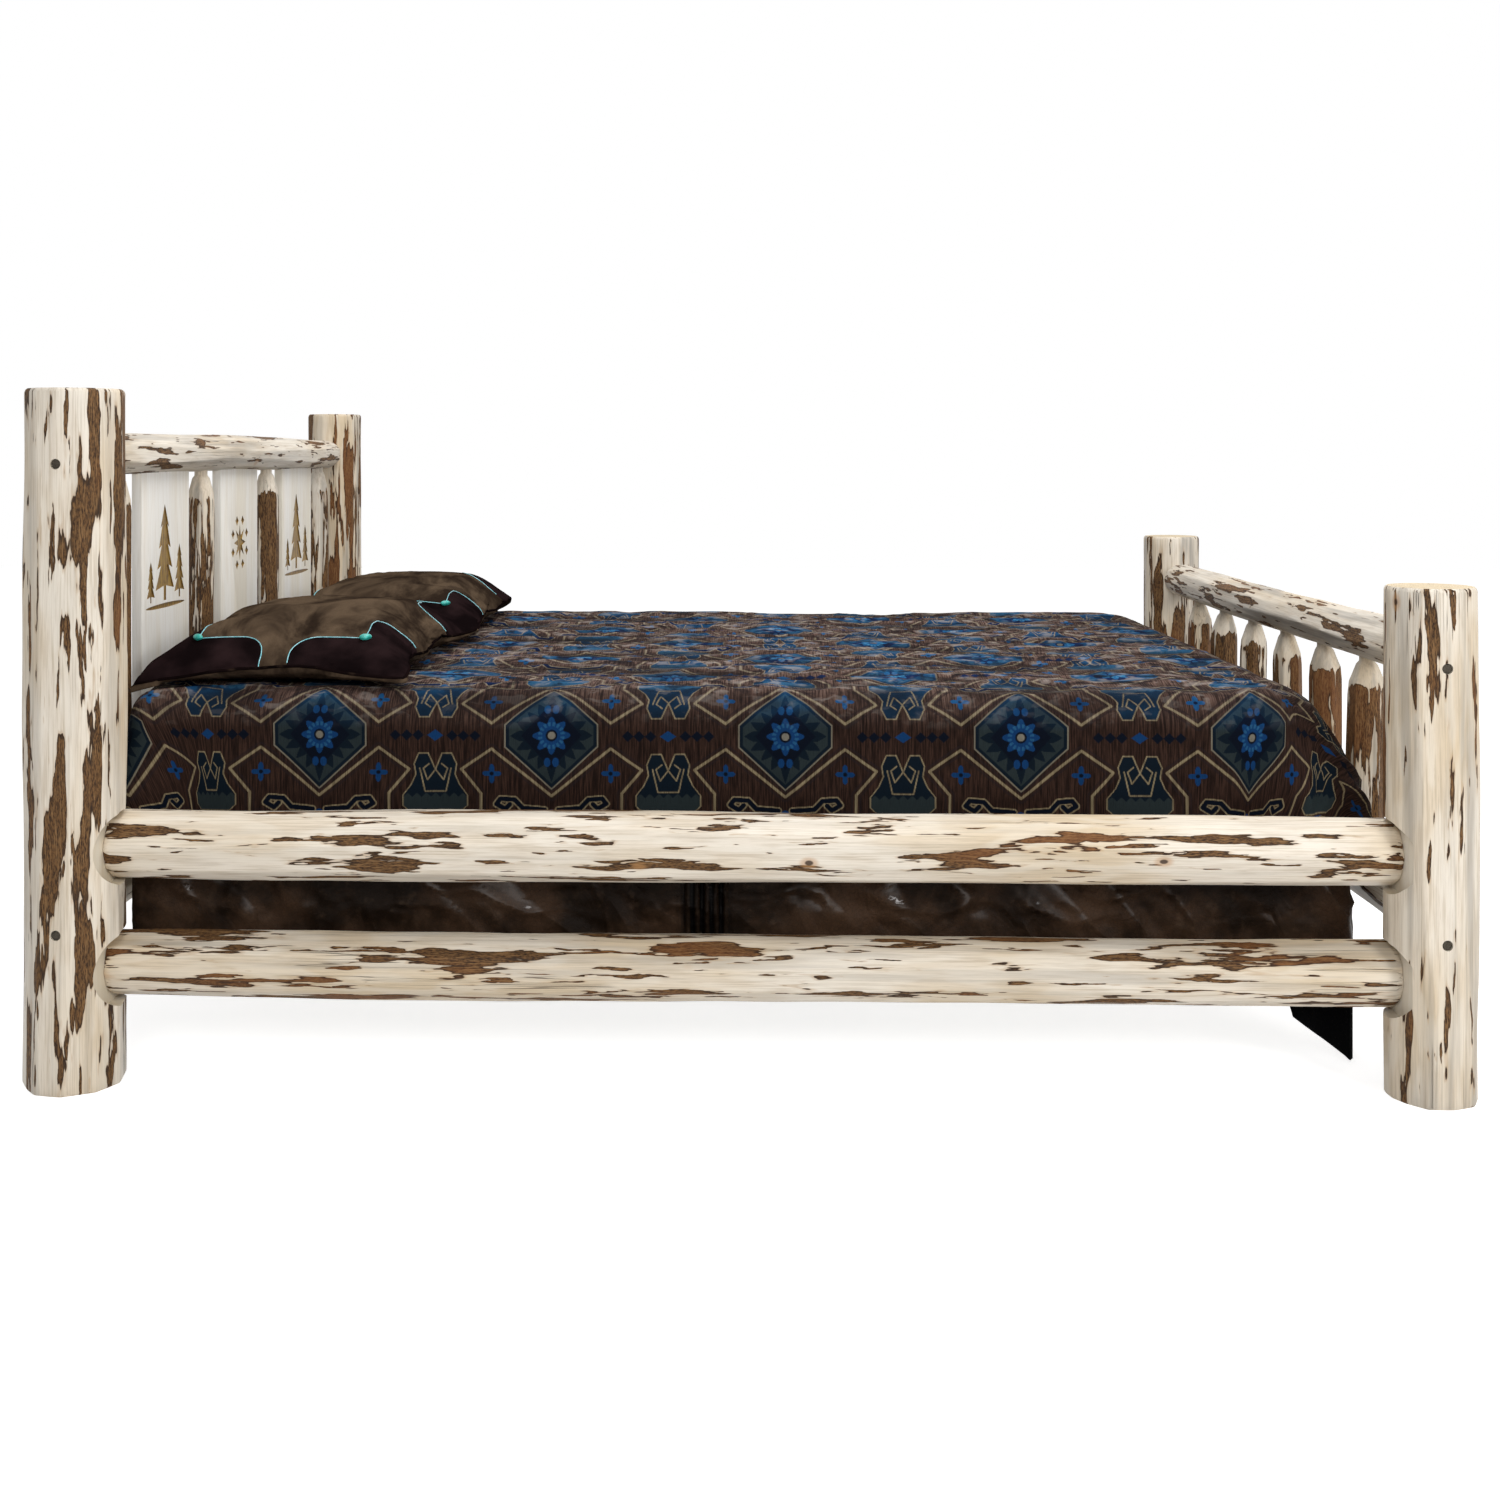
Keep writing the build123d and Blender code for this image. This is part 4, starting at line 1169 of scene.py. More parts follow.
def make_bedspread():
    """A woven sheet, draped over the mattress and tucked down beside it."""
    length = CORE_FOOT - CORE_HEAD + 2 * SPREAD_SKIRTING
    width = 2 * (CORE_HALF + SPREAD_SKIRTING)
    shape = bmesh.new()
    bmesh.ops.create_grid(
        shape, x_segments=round(length / SPREAD_GRID), y_segments=round(width / SPREAD_GRID), size=0.5,
    )
    flat = np.array([v.co for v in shape.verts])
    s = CORE_HEAD - SPREAD_SKIRTING + (flat[:, 0] + 0.5) * length
    t = flat[:, 1] * width
    core_x, core_y = np.clip(s, CORE_HEAD, CORE_FOOT), np.clip(t, -CORE_HALF, CORE_HALF)
    away_x, away_y = s - core_x, t - core_y
    straight = np.maximum(np.hypot(away_x, away_y), 1e-9)
    distance = (np.abs(away_x) ** 12 + np.abs(away_y) ** 12) ** (1 / 12)
    footward = np.clip(away_x / straight, 0, 1) ** 2
    headward = np.clip(-away_x / straight, 0, 1) ** 2
    # The head corners are square, and the foot corners grow squarer towards the hem.
    square = np.where(away_x < 0, 1, 0.7 * np.clip((distance - 0.16) / 0.14, 0, 1))
    reach = straight * (1 - square) + np.maximum(distance, 1e-9) * square
    way_x, way_y = away_x / reach, away_y / reach
    side_out, side_z = edge_profile(distance, SIDE_BEND)
    head_out, head_z = edge_profile(distance, HEAD_BEND)
    foot_out, foot_z = foot_profile(distance)
    sideward = 1 - footward - headward
    out = side_out * sideward + head_out * headward + foot_out * footward
    out = out + HEAD_BULGE * headward * np.clip((distance - 0.10) / 0.10, 0, 1)
    z = side_z * sideward + head_z * headward + foot_z * footward

    # Gathers where the corners have cloth to spare.
    corner = 4 * (way_x * way_y) ** 2
    turn = np.arctan2(np.abs(away_y), np.abs(away_x))
    loose = np.clip((distance - 0.17) / 0.18, 0, 1)
    out = out + corner * loose * 0.010 * (1 + np.sin(11 * turn + 2.2 * np.sign(away_x) + away_y))
    points = np.column_stack((core_x + way_x * out, core_y + way_y * out + SPREAD_MID, z))

    # Puckers, short and across the cloth, and slow hollows.
    cloth = np.column_stack((s, t))
    lying = np.clip(1 - (distance - 0.08) / 0.10, 0, 1)
    pucker = 1 - 2 * np.abs(swell(cloth, (0.13, 0.040), 4, 12))
    crease = 1 - 2 * np.abs(swell(cloth, (0.26, 0.12), 9, 10))
    hollow = swell(cloth, (0.55, 0.32), 6)
    patchy = 0.6 + 0.4 * np.tanh(1.6 * swell(cloth, (0.5, 0.5), 17))
    rough = 0.0009 * pucker * patchy + 0.0036 * crease + 0.0034 * hollow
    lift = lying * (TOP_SINK + TOP_SWING * np.tanh(rough / TOP_SWING))
    points[:, 2] += (1 - lying) * np.clip(1.6 - distance / FLAT_BAND, 0, 1) * 0.006 * swell(cloth, (0.3, 0.3), 25)
    drop_fold = swell(cloth, (0.22, 0.5), 12)
    slack = 1 - 2 * np.abs(swell(cloth, (0.19, 0.34), 15, 9))
    on_side = 1 - lying
    push = on_side * (0.0030 * drop_fold + 0.0026 * slack)
    bunch = footward * np.clip((distance - 0.20) / 0.12, 0, 1)
    push = push + bunch * 0.014 * (1 - 1.4 * np.abs(swell(cloth, (0.09, 0.13), 21, 9)))
    normal_out = np.clip((distance - FLAT_BAND) / SIDE_BEND, 0, 1)
    points[:, 0] += way_x * push * normal_out
    points[:, 1] += way_y * push * normal_out
    points[:, 2] += lift
    layer = shape.loops.layers.uv.new("cloth")
    painted_light = shape.verts.layers.float.new("lying")
    painted_crease_shade = shape.verts.layers.float.new("crease")
    # The lying share paints the top lighter and bluer, and lighter still on the ridges of its wrinkles: painted sheen
    # and highlight. The crease share paints shade into the top's hollows.
    raised = np.clip(1 - (distance - 0.09) / 0.10, 0, 1) * (0.65 + 0.35 * np.tanh(rough / 0.0035))
    crease_shade = np.clip(lying * -rough / 0.009, 0, 1)
    for vertex, place, a, b, share, depth in zip(shape.verts, points, s, t, raised, crease_shade):
        vertex.co = place
        vertex[painted_light] = share
        vertex[painted_crease_shade] = depth
        for loop in vertex.link_loops:
            loop[layer].uv = (a - MEDALLION_X, -b - MEDALLION_ROW)
    bmesh.ops.recalc_face_normals(shape, faces=shape.faces)
    spread = new_piece(
        "woven_bedspread", shape, [spread_material()], "bed", ["bedspread"], SEAMLESS,
    )
    upward = sum(p.area * p.normal.z for p in spread.data.polygons)
    thicken(spread, upward)


def thicken(sheet, facing):
    """Turns an open sheet's faces outwards, which facing measures, and gives it thickness on its inner side."""
    if facing < 0:
        sheet.data.flip_normals()
    thick = sheet.modifiers.new("thickness", "SOLIDIFY")
    thick.thickness, thick.offset = SHEET_THICKNESS, -1


make_bedspread()


# ---------------------------------------------------------------- leather
def leather_material(name, dark, light, glaze, grain_depth, painted_shadow_height=None):
    """Glazed leather: pebbled grain, crumples, mottled dye, soft wear. Below the height of its last argument it is
    painted near black and matte: a painted shadow.
    """
    material, tree, shader = new_material(name)
    place = object_place(tree)
    mottle = noise(tree, place, 7, 4, 0.6)
    pebble = cells(tree, place, 520)
    vein = cells(tree, place, 130, "DISTANCE_TO_EDGE")
    crumple = noise(tree, place.vector("MULTIPLY", (1, 1, 0.8)), 15, 3, 0.5, 0.8) - 0.5
    colour = blend(tree, mottle.rise(0.36, 0.66), dark, light)
    colour = blend(tree, inside(vein, 0.05, 0.03) * 0.25, colour, dark)
    scuff = noise(tree, place, 34, 4).rise(0.56, 0.72)
    colour = blend(tree, scuff * 0.14, colour, (104, 84, 68))
    rough = mottle * 0.22 + 0.3
    east, north, up = place.parts()
    slanted = vector_of(tree, east * 0.8 + up * 0.7, north * 0.8, up * 0.4)
    fold = noise(tree, slanted, 10, 1, 0.4, 0.2) - 0.5
    ridge = inside(fold.size(), 0.018, 0.030)
    coat = ridge * noise(tree, place, 7, 3, 0.6).rise(0.40, 0.56) * glaze
    height = pebble * 0.05 + vein * 0.02 - crumple.size() * 0.8 - fold.size() * 3
    # Painted shadow: near black and matte below the given height.
    if painted_shadow_height:
        painted_shadow = inside(up, painted_shadow_height, 0.004)
        colour = blend(tree, painted_shadow, colour, (5, 5, 6))
        rough = rough + painted_shadow
        coat = coat * painted_shadow.inverse()
        # Pleats round the middle of the side, with painted shade in the hollows between them.
        pleated = inside((east - PLEAT_MIDDLE).size(), PLEAT_SPAN, 0.012)
        wave = (east * (2 * math.pi / 0.0165)).math("SINE")
        colour = blend(tree, pleated * inside(wave, 0.0, 0.5), colour, (4, 3, 3))
        height = height + pleated * wave * 0.25
    dress(tree, shader, colour, rough, height, grain_depth)
    shader.inputs["Specular IOR Level"].default_value = 0.06 if glaze else 0.0
    plug(tree, shader.inputs["Coat Weight"], coat)
    shader.inputs["Coat Roughness"].default_value = 0.16
    return material


# ---------------------------------------------------------------- skirt
PLEAT_MIDDLE, PLEAT_SPAN = -0.064, 0.040
SKIRT_LEATHER = leather_material(
    "skirt_leather", (26, 18, 12), (68, 50, 37), 0.8, 0.014, 0.150,
)
SKIRT_HEAD = -1.067
SKIRT_TOP = 0.405
SKIRT_HEM = 0.2185
SKIRT_TIP = 0.012
SKIRT_SWING = 0.011
SKIRT_TAIL = 0.128
SKIRT_HALF = 0.7655
SKIRT_FOOT = 1.0405
SKIRT_CORNER = 0.020
SKIRT_GRID = 0.0105


def skirt_place(run):
    """Plan place and outward direction at a distance round the skirt, from the near head corner."""
    side = SKIRT_FOOT - SKIRT_CORNER - SKIRT_HEAD
    bend = SKIRT_CORNER * math.pi / 2
    foot = 2 * (SKIRT_HALF - SKIRT_CORNER)
    inner_x, inner_y = SKIRT_FOOT - SKIRT_CORNER, SKIRT_HALF - SKIRT_CORNER
    if run <= side:
        return (SKIRT_HEAD + run, -SKIRT_HALF), (0, -1)
    run -= side
    if run <= bend:
        turn = run / SKIRT_CORNER
        way = (math.sin(turn), -math.cos(turn))
        return (inner_x + SKIRT_CORNER * way[0], -inner_y + SKIRT_CORNER * way[1]), way
    run -= bend
    if run <= foot:
        return (SKIRT_FOOT, -inner_y + run), (1, 0)
    run -= foot
    if run <= bend:
        turn = run / SKIRT_CORNER
        way = (math.cos(turn), math.sin(turn))
        return (inner_x + SKIRT_CORNER * way[0], inner_y + SKIRT_CORNER * way[1]), way
    run -= bend
    return (inner_x - run, SKIRT_HALF), (0, 1)


def make_skirt():
    """A leather drop round the sides and the foot, whose two foot corners hang down in points."""
    side = SKIRT_FOOT - SKIRT_CORNER - SKIRT_HEAD
    bend = SKIRT_CORNER * math.pi / 2
    around = 2 * (side + bend + SKIRT_HALF - SKIRT_CORNER)
    corners = (side + bend / 2, around - side - bend / 2)
    rows = 26
    shape = bmesh.new()
    bmesh.ops.create_grid(shape, x_segments=round(around / SKIRT_GRID), y_segments=rows, size=0.5)
    flat = np.array([v.co for v in shape.verts])
    run = (flat[:, 0] + 0.5) * around
    down = 0.5 - flat[:, 1]
    to_corner = np.minimum(np.abs(run - corners[0]), np.abs(run - corners[1]))
    tail = np.interp(to_corner, [0, 0.012, SKIRT_TAIL * 0.78, SKIRT_TAIL], [1, 0.95, 0.62, 0])
    hem = SKIRT_HEM - (SKIRT_HEM - SKIRT_TIP) * tail
    z = SKIRT_TOP - (SKIRT_TOP - hem) * down
    places = [skirt_place(r) for r in run]
    plan = np.array([p for p, _ in places])
    way = np.array([w for _, w in places])
    sheet = np.column_stack((run, z))
    slanted = np.column_stack((run + 0.55 * z, z - 0.2 * run))
    gap = np.exp(-((z - 0.295) / 0.042) ** 2)
    creases = 1 - np.abs(swell(slanted, (0.13, 0.11), 5, 9)) * 1.9
    folds = 0.5 + 0.5 * swell(sheet, (0.27, 0.9), 8)
    tight = 1 - np.abs(swell(slanted, (0.05, 0.07), 13, 9)) * 1.9
    push = gap * (0.013 * np.clip(creases, 0, 1) ** 2 + 0.006 * folds + 0.004 * np.clip(tight, 0, 1))
    pleats = np.exp(-((plan[:, 0] - PLEAT_MIDDLE) / PLEAT_SPAN) ** 2) * (way[:, 1] < -0.5)
    push = push + gap * pleats * 0.017 * (0.5 + 0.5 * np.sin(plan[:, 0] * 2 * math.pi / 0.031))
    loose = np.clip((0.20 - z) / 0.1, 0, 1)
    push = push - loose * 0.010 * (0.5 + 0.5 * np.sin(run * 2 * math.pi / 0.085))
    points = np.column_stack((plan + way * push[:, None], z))
    points[:, 1] += SPREAD_MID
    points[:, 0] += SKIRT_SWING * tail * np.clip((0.36 - z) / 0.12, 0, 1)
    move_points(shape, points)
    skirt = new_piece(
        "leather_skirt", shape, [SKIRT_LEATHER], "bed", ["bed_skirt"], SEAMLESS,
    )
    outward = sum(p.area * -p.normal.y for p in skirt.data.polygons if p.center.y < -0.7)
    thicken(skirt, outward)


make_skirt()


# ---------------------------------------------------------------- mattress and box spring
TUBE_ROUNDING = 3


def tube(name, points, radius, material, closed, body):
    """A round strip along a line of points."""
    curve = bpy.data.curves.new(name, "CURVE")
    curve.dimensions = "3D"
    curve.bevel_depth = radius
    curve.bevel_resolution = TUBE_ROUNDING
    curve.use_fill_caps = not closed
    line = curve.splines.new("POLY")
    line.points.add(len(points) - 1)
    for point, place in zip(line.points, points):
        point.co = (*place, 1)
    line.use_cyclic_u = closed
    holder = bpy.data.objects.new(name, curve)
    mesh = bpy.data.meshes.new_from_object(holder)
    bpy.data.objects.remove(holder)
    bpy.data.curves.remove(curve)
    mesh.name = name
    mesh.materials.clear()
    mesh.materials.append(material)
    finish_shading(mesh, ROUND)
    piece = new_object(name, mesh)
    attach(piece, body)


def ticking_material():
    """White woven ticking, quilted in diamonds."""
    material, tree, shader = new_material("quilted_ticking")
    place = object_place(tree)
    x, y, z = place.parts()
    pitch = 0.085
    first = (x + y + z).fold(pitch)
    second = (x - y - z).fold(pitch)
    stitch = first.least(second)
    puff = stitch.rise(0.0, 0.03)
    weave = noise(tree, place.vector("MULTIPLY", (1, 1, 0.3)), 900, 2)
    # Darker towards the stitches and lighter on the puffs: painted shade in the quilting's hollows.
    colour = blend(tree, puff, (206, 202, 192), (238, 236, 230))
    colour = blend(tree, weave.rise(0.45, 0.7) * 0.3, colour, (214, 210, 200))
    colour = blend(tree, inside(stitch, 0.0008), colour, (176, 170, 158))
    dress(tree, shader, colour, 0.85, puff + weave * 0.05, 0.006)
    return material


TICKING = ticking_material()


def make_bedding_block(node, bend, inset, pressed):
    """A stuffed block with round corners and soft edges. pressed is how far its top is pushed in."""
    low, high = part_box(node)
    low, high = low + Vector(inset), high - Vector(inset)
    high.z -= pressed
    shape = box_shape(high - low, (low + high) / 2)
    round_off(shape, [e for e in shape.edges if abs(e.verts[0].co.z - e.verts[1].co.z) > 0.01], 0.09, 10)
    level = [e for e in shape.edges if abs(e.verts[0].co.z - e.verts[1].co.z) < 1e-5
             and any(abs(f.normal.z) > 0.9 for f in e.link_faces)]
    round_off(shape, level, bend, 6)
    block = new_piece(f"{node}_ticking", shape, [TICKING], "bed", [node], ROUND)


make_bedding_block("mattress", 0.060, (0.014, 0.012, 0), 0.014)
make_bedding_block("box_spring", 0.012, (0.006, 0.004, 0), 0)


# ---------------------------------------------------------------- pillows
def suede_material():
    """Brown suede, with a nap that lies lighter and darker in strokes."""
    material, tree, shader = new_material("pillow_suede")
    place = object_place(tree)
    yoke = inside(stored(tree, "yoke"), 0.0, 0.0005)
    nap = noise(tree, place.vector("MULTIPLY", (1, 0.45, 1)), 11, 4, 0.6, 0.5)
    fuzz = noise(tree, place, 420, 3)
    colour = blend(tree, nap.rise(0.36, 0.66), (40, 31, 25), (96, 80, 64))
    colour = blend(tree, fuzz.rise(0.4, 0.7) * 0.35, colour, (62, 49, 38))
    pebble = cells(tree, place, 520)
    mottle = noise(tree, place, 12, 3)
    hide = blend(tree, mottle.rise(0.35, 0.7), (17, 11, 12), (40, 28, 29))
    colour = blend(tree, yoke, colour, hide)
    rough = yoke * -0.35 + 0.86
    dress(tree, shader, colour, rough, fuzz * 0.4 + pebble * 0.5, 0.0004)
    shader.inputs["Specular IOR Level"].default_value = 0.0
    return material


def turquoise_material(name, deep, pale):
    """Polished turquoise, with fine dark veins."""
    material, tree, shader = new_material(name)
    place = object_place(tree)
    vein = cells(tree, place, 240, "DISTANCE_TO_EDGE")
    cloud = noise(tree, place, 120, 2)
    colour = blend(tree, cloud.rise(0.35, 0.65), deep, pale)
    colour = blend(tree, inside(vein, 0.04, 0.02) * 0.5, colour, (48, 92, 84))
    dress(tree, shader, colour, 0.28, cloud, 0.0002)
    return material


SUEDE = suede_material()
BEAD_STONE = turquoise_material("turquoise_bead", (24, 150, 140), (70, 196, 184))
CORD = turquoise_material("turquoise_cord", (118, 196, 206), (164, 222, 232))
PILLOW_LEATHER = leather_material("pillow_leather", (10, 6, 6), (24, 15, 15), 0.0, 0.002)
YOKE_LONG, YOKE_DEEP, YOKE_BEND = 0.219, 0.092, 0.045
PILLOW_VOXEL = 0.0065
CORD_RADIUS, PIPING_RADIUS, BEAD_RADIUS = 0.0009, 0.0026, 0.0072
SEAM_POINTS = 160


def yoke_distance(a, b):
    """Signed distance to a corner yoke's edge. a runs from the corner along one seam, b along the other."""
    def lobe(half_a, half_b):
        da, db = np.abs(a) - half_a + YOKE_BEND, np.abs(b) - half_b + YOKE_BEND
        outside = np.hypot(np.maximum(da, 0), np.maximum(db, 0))
        return outside + np.minimum(np.maximum(da, db), 0) - YOKE_BEND
    return np.minimum(lobe(YOKE_LONG, YOKE_DEEP), lobe(YOKE_DEEP, YOKE_LONG))


def yoke_line():
    """Points of a corner yoke's edge, from one seam to the other."""
    line = [(YOKE_LONG, y) for y in np.linspace(0, YOKE_DEEP - YOKE_BEND, 8)]
    for turn in np.linspace(0, math.pi / 2, 14)[1:]:
        line.append((YOKE_LONG - YOKE_BEND + YOKE_BEND * math.cos(turn),
                     YOKE_DEEP - YOKE_BEND + YOKE_BEND * math.sin(turn)))
    line += [(x, YOKE_DEEP) for x in np.linspace(YOKE_LONG - YOKE_BEND, YOKE_DEEP, 12)[1:]]
    return line + [(b, a) for a, b in reversed(line[:-1])]


def pillow_form(low, high, seed):
    """A stuffed case: thin at the seam, crowned in the middle, sides drawn in between the corners."""
    shape = bmesh.new()
    bmesh.ops.create_cube(shape, size=2)
    bmesh.ops.subdivide_edges(shape, edges=shape.edges[:], cuts=40, use_grid_fill=True)
    raw = np.array([v.co for v in shape.verts])
    x, y, side = raw.T
    half = (high - low) / 2
    centre = (high + low) / 2
    plump = (np.clip(1 - np.abs(x) ** 2.6, 0, 1) * np.clip(1 - np.abs(y) ** 3.2, 0, 1)) ** 0.55
    pull_x = 1 - 0.055 * (1 - y * y)
    pull_y = 1 - 0.040 * (1 - x * x)
    rim = 0.010
    belly = rim + (half.z * 0.62 - rim) * plump
    crown = rim + (half.z * 1.15 - rim) * plump
    level = np.where(side > 0, side * crown, side * belly)
    seam = low.z + 0.022 + 0.022 * plump
    points = np.column_stack((
        centre.x + half.x * 0.985 * x * pull_x, centre.y + half.y * 0.985 * y * pull_y, seam + level,
    ))
    points[:, 2] += 0.004 * swell(points[:, :2], (0.22, 0.22), seed)
    move_points(shape, points)
    return shape


def puff_up(piece, frames, pressure, cap):
    """Remeshes a piece evenly and blows it up as cloth, no point moving further than the cap."""
    remesh = piece.modifiers.new("even", "REMESH")
    remesh.mode, remesh.voxel_size = "VOXEL", PILLOW_VOXEL
    apply_modifiers(piece)
    before = read_points(piece.data)
    cloth = piece.modifiers.new("cloth", "CLOTH")
    cloth.settings.quality = 5
    cloth.settings.mass = 0.25
    cloth.settings.tension_stiffness = 18
    cloth.settings.compression_stiffness = 18
    cloth.settings.bending_stiffness = 0.6
    cloth.settings.shrink_min = -0.035
    cloth.settings.use_pressure = True
    cloth.settings.uniform_pressure_force = pressure
    cloth.settings.effector_weights.gravity = 0
    cloth.collision_settings.use_collision = False
    cloth.point_cache.frame_start, cloth.point_cache.frame_end = 1, frames
    for step in range(1, frames + 1):
        bpy.context.scene.frame_set(step)
    apply_modifiers(piece)
    bpy.context.scene.frame_set(1)
    moved = read_points(piece.data) - before
    size = np.linalg.norm(moved, axis=1, keepdims=True)
    moved *= np.minimum(1, cap / np.maximum(size, 1e-9))
    return before + moved


def make_pillow(side, seed):
    """A suede pillow with a leather yoke at each corner, edged in turquoise cord."""
    body = f"pillow_{side}"
    low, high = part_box(body)
    pillow = new_piece(
        f"{body}_case", pillow_form(low, high, seed), [SUEDE], body, [body], SEAMLESS,
    )
    points = puff_up(pillow, 18, 3.0, 0.022)
    least, most = points.min(axis=0), points.max(axis=0)
    points = np.array(low) + (points - least) / (most - least) * (np.array(high) - np.array(low))
    points = settle(points, low, high, side)
    write_points(pillow.data, points)
    finish_shading(pillow.data, SEAMLESS)
    pillow.data.materials.clear()
    pillow.data.materials.append(SUEDE)
    surface = BVHTree.FromPolygons(points.tolist(), [tuple(p.vertices) for p in pillow.data.polygons])
    seam = seam_line(points, surface, low, high)

    # The seam lies round the widest line. Corners are found on it, and the yokes measured from them.
    corners = {}
    for way_x in (-1, 1):
        for way_y in (-1, 1):
            score = points[:, 0] * way_x / (high.x - low.x) + points[:, 1] * way_y / (high.y - low.y)
            corners[way_x, way_y] = points[np.argmax(score)]
    yoke = np.full(len(points), 0.2)
    for (way_x, way_y), corner in corners.items():
        distance = yoke_distance((corner[0] - points[:, 0]) * way_x, (corner[1] - points[:, 1]) * way_y)
        yoke = np.minimum(yoke, distance)
    turns = bearing(seam, low, high)
    order = np.argsort(turns)
    seam_level = np.interp(bearing(points, low, high), turns[order], seam[order, 2], period=2 * math.pi)
    yoke = np.maximum(yoke, seam_level - points[:, 2])
    attribute = pillow.data.attributes.new("yoke", "FLOAT", "POINT")
    attribute.data.foreach_set("value", yoke)

    def on_top(x, y):
        hit, normal, _, _ = surface.ray_cast(Vector((x, y, 2)), Vector((0, 0, -1)))
        return None if hit is None or normal.z < 0.02 else (hit + normal * 0.0006, normal)

    for (way_x, way_y), corner in corners.items():
        name = f"{body}_{'foot' if way_x > 0 else 'head'}_{'far' if way_y > 0 else 'near'}"
        places = [on_top(corner[0] - way_x * a, corner[1] - way_y * b) for a, b in yoke_line()]
        line = [p[0] for p in places if p]
        if len(line) > 4:
            tube(f"{name}_cord", line, CORD_RADIUS, CORD, False, body)
        knot = on_top(corner[0] - way_x * YOKE_DEEP, corner[1] - way_y * YOKE_DEEP)
        if knot:
            make_bead(f"{name}_bead", knot[0] + knot[1] * 0.003, way_x, way_y, body)

    tube(f"{body}_piping", seam, PIPING_RADIUS, PILLOW_LEATHER, True, body)


def bearing(points, low, high):
    """Angle of a place round a pillow's middle, as seen from above, in shares of its length and width."""
    centre = (low + high) / 2
    return np.arctan2((points[:, 1] - centre.y) / (high.y - low.y), (points[:, 0] - centre.x) / (high.x - low.x))


def settle(points, low, high, side):
    """Lets a pillow lie low at its seam. The near one droops at its edge, the far one turns up a corner."""
    across = (points[:, 1] - low.y) / (high.y - low.y) * 2 - 1
    along = (points[:, 0] - low.x) / (high.x - low.x) * 2 - 1
    points = points.copy()
    rim = np.clip((np.maximum(np.abs(across), np.abs(along)) - 0.5) / 0.5, 0, 1)
    points[:, 2] = low.z + (points[:, 2] - low.z) * (1 - 0.5 * rim * rim * (3 - 2 * rim))
    if side == "near":
        edge = np.clip((-across - 0.76) / 0.24, 0, 1) ** 2
        points[:, 2] -= edge * (0.011 + 0.022 * np.clip((-along - 0.4) / 0.6, 0, 1))
    else:
        outer = np.clip((along - 0.4) / 0.6, 0, 1) ** 2 * np.clip((across - 0.5) / 0.5, 0, 1) ** 2
        points[:, 2] += 0.016 * outer
        points[:, 0] -= 0.045 * outer
    return points


def make_bead(name, place, way_x, way_y, body):
    """A barrel of turquoise, set across the yoke's inner corner."""
    shape = bmesh.new()
    bmesh.ops.create_uvsphere(shape, u_segments=20, v_segments=12, radius=BEAD_RADIUS)
    bmesh.ops.scale(shape, vec=(1.75, 1, 0.85), verts=shape.verts)
    turn = Matrix.Rotation(math.atan2(way_y, -way_x), 4, "Z")
    bmesh.ops.transform(shape, matrix=Matrix.Translation(place) @ turn, verts=shape.verts)
    new_piece(name, shape, [BEAD_STONE], body, crisp=SEAMLESS)


def seam_line(points, surface, low, high):
    """A closed, even line along the widest part of the case, lying on its surface."""
    centre = (low + high) / 2
    turns = bearing(points, low, high)
    reach = np.hypot(points[:, 1] - centre.y, points[:, 0] - centre.x)
    line = []
    for i in range(SEAM_POINTS):
        angle = -math.pi + 2 * math.pi * (i + 0.5) / SEAM_POINTS
        off = np.abs((turns - angle + math.pi) % (2 * math.pi) - math.pi)
        near = np.where(off < 2 * math.pi / SEAM_POINTS)[0]
        line.append(points[near[np.argmax(reach[near])]])
    line = np.array(line)
    level = line[:, 2].copy()
    for _ in range(30):
        level = (np.roll(level, 1) + 2 * level + np.roll(level, -1)) / 4
    for _ in range(2):
        line = (np.roll(line, 1, axis=0) + 2 * line + np.roll(line, -1, axis=0)) / 4
    line[:, 2] = level
    return np.array([surface.find_nearest(Vector(place))[0] for place in line])


make_pillow("near", 2)
make_pillow("far", 6)


# ---------------------------------------------------------------- light, floor and camera
CAMERA_PLACE = (0.0278, -3.6715, 1.0518)
CAMERA_TURN = 0.0291
LENS_MM = 40.36
SHIFT_ACROSS, SHIFT_UP = 0.0268, -0.1958
WORLD_STRENGTH = 0.30
FLOOR_HALF = 12
FLOOR_GLOW = 0.78
# name: place, what it looks at, width, watts
LAMPS = {
    "key": ((-0.6, -4.8, 2.6), (-0.3, 0, 0.4), 1.5, 54),
    "fill": ((3.0, -3.9, 2.2), (-0.5, 0, 0.6), 1.5, 88),
    "top": ((0.5, -0.2, 3.8), (-0.2, 0, 0.5), 2.2, 84),
}


def add_lamp(name, place, target, size, watts):
    light = bpy.data.lights.new(name, "AREA")
    light.shape = "DISK"
    light.size = size
    light.energy = watts
    lamp = new_object(name, light)
    lamp.location = place
    lamp.rotation_euler = (Vector(target) - Vector(place)).to_track_quat("-Z", "Y").to_euler()


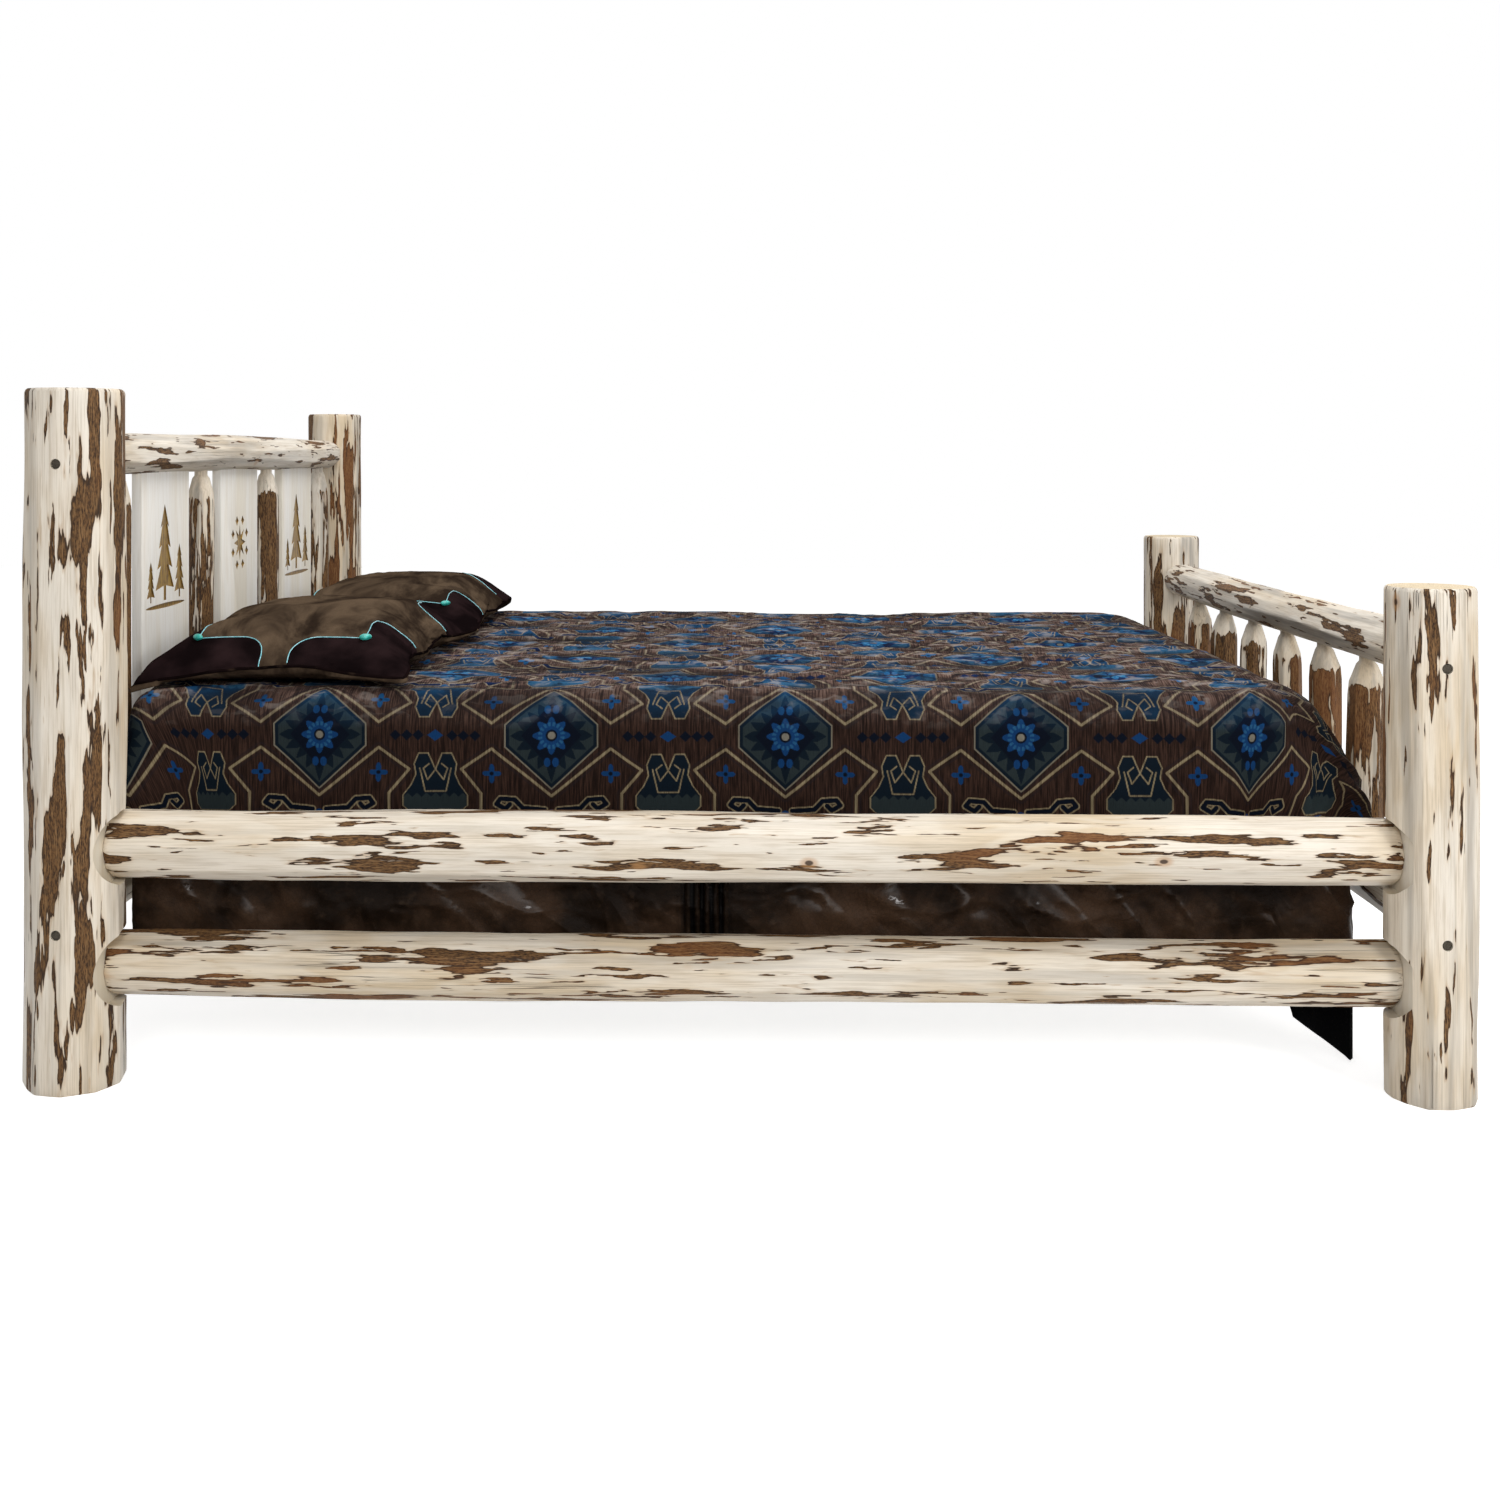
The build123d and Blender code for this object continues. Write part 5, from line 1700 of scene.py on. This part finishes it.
def ray_share(tree):
    """1 for what the camera sees, directly, mirrored or through glass."""
    path = tree.nodes.new("ShaderNodeLightPath")
    camera = Signal(tree, path.outputs["Is Camera Ray"])
    glossy = Signal(tree, path.outputs["Is Glossy Ray"])
    through = Signal(tree, path.outputs["Is Transmission Ray"])
    return camera.most(glossy).most(through)


def make_world():
    """A white room, dimmer as a light than as a background."""
    world = bpy.data.worlds.new("studio")
    bpy.context.scene.world = world
    world.use_nodes = True
    tree = world.node_tree
    background = tree.nodes["Background"]
    background.inputs["Color"].default_value = (1, 1, 1, 1)
    plug(tree, background.inputs["Strength"], ray_share(tree) * (1 - WORLD_STRENGTH) + WORLD_STRENGTH)


def make_floor():
    """A white floor that keeps the bed's shadow."""
    shape = bmesh.new()
    bmesh.ops.create_grid(shape, x_segments=1, y_segments=1, size=FLOOR_HALF)
    mesh = bpy.data.meshes.new("floor")
    shape.to_mesh(mesh)
    shape.free()
    floor = new_object("floor", mesh)
    floor.location.z = -0.0005  # just under the posts, so that no faces coincide
    material, tree, shader = new_material("floor_white")
    shader.inputs["Base Color"].default_value = (0.8, 0.8, 0.8, 1)
    shader.inputs["Roughness"].default_value = 0.9
    shader.inputs["Specular IOR Level"].default_value = 0
    glow = tree.nodes.new("ShaderNodeEmission")
    plug(tree, glow.inputs["Strength"], ray_share(tree) * FLOOR_GLOW)
    both = tree.nodes.new("ShaderNodeAddShader")
    tree.links.new(shader.outputs[0], both.inputs[0])
    tree.links.new(glow.outputs[0], both.inputs[1])
    tree.links.new(both.outputs[0], tree.nodes["Material Output"].inputs["Surface"])
    mesh.materials.append(material)


def make_camera():
    camera = bpy.data.cameras.new("camera")
    camera.lens = LENS_MM
    camera.sensor_width = 36
    camera.shift_x, camera.shift_y = SHIFT_ACROSS, SHIFT_UP
    camera.clip_start, camera.clip_end = 0.05, 60
    holder = new_object("camera", camera)
    holder.location = CAMERA_PLACE
    holder.rotation_euler = (QUARTER, 0, CAMERA_TURN)
    bpy.context.scene.camera = holder


make_world()
make_floor()
make_camera()
for lamp_name, lamp_facts in LAMPS.items():
    add_lamp(lamp_name, *lamp_facts)
bpy.context.scene.view_settings.view_transform = "Standard"
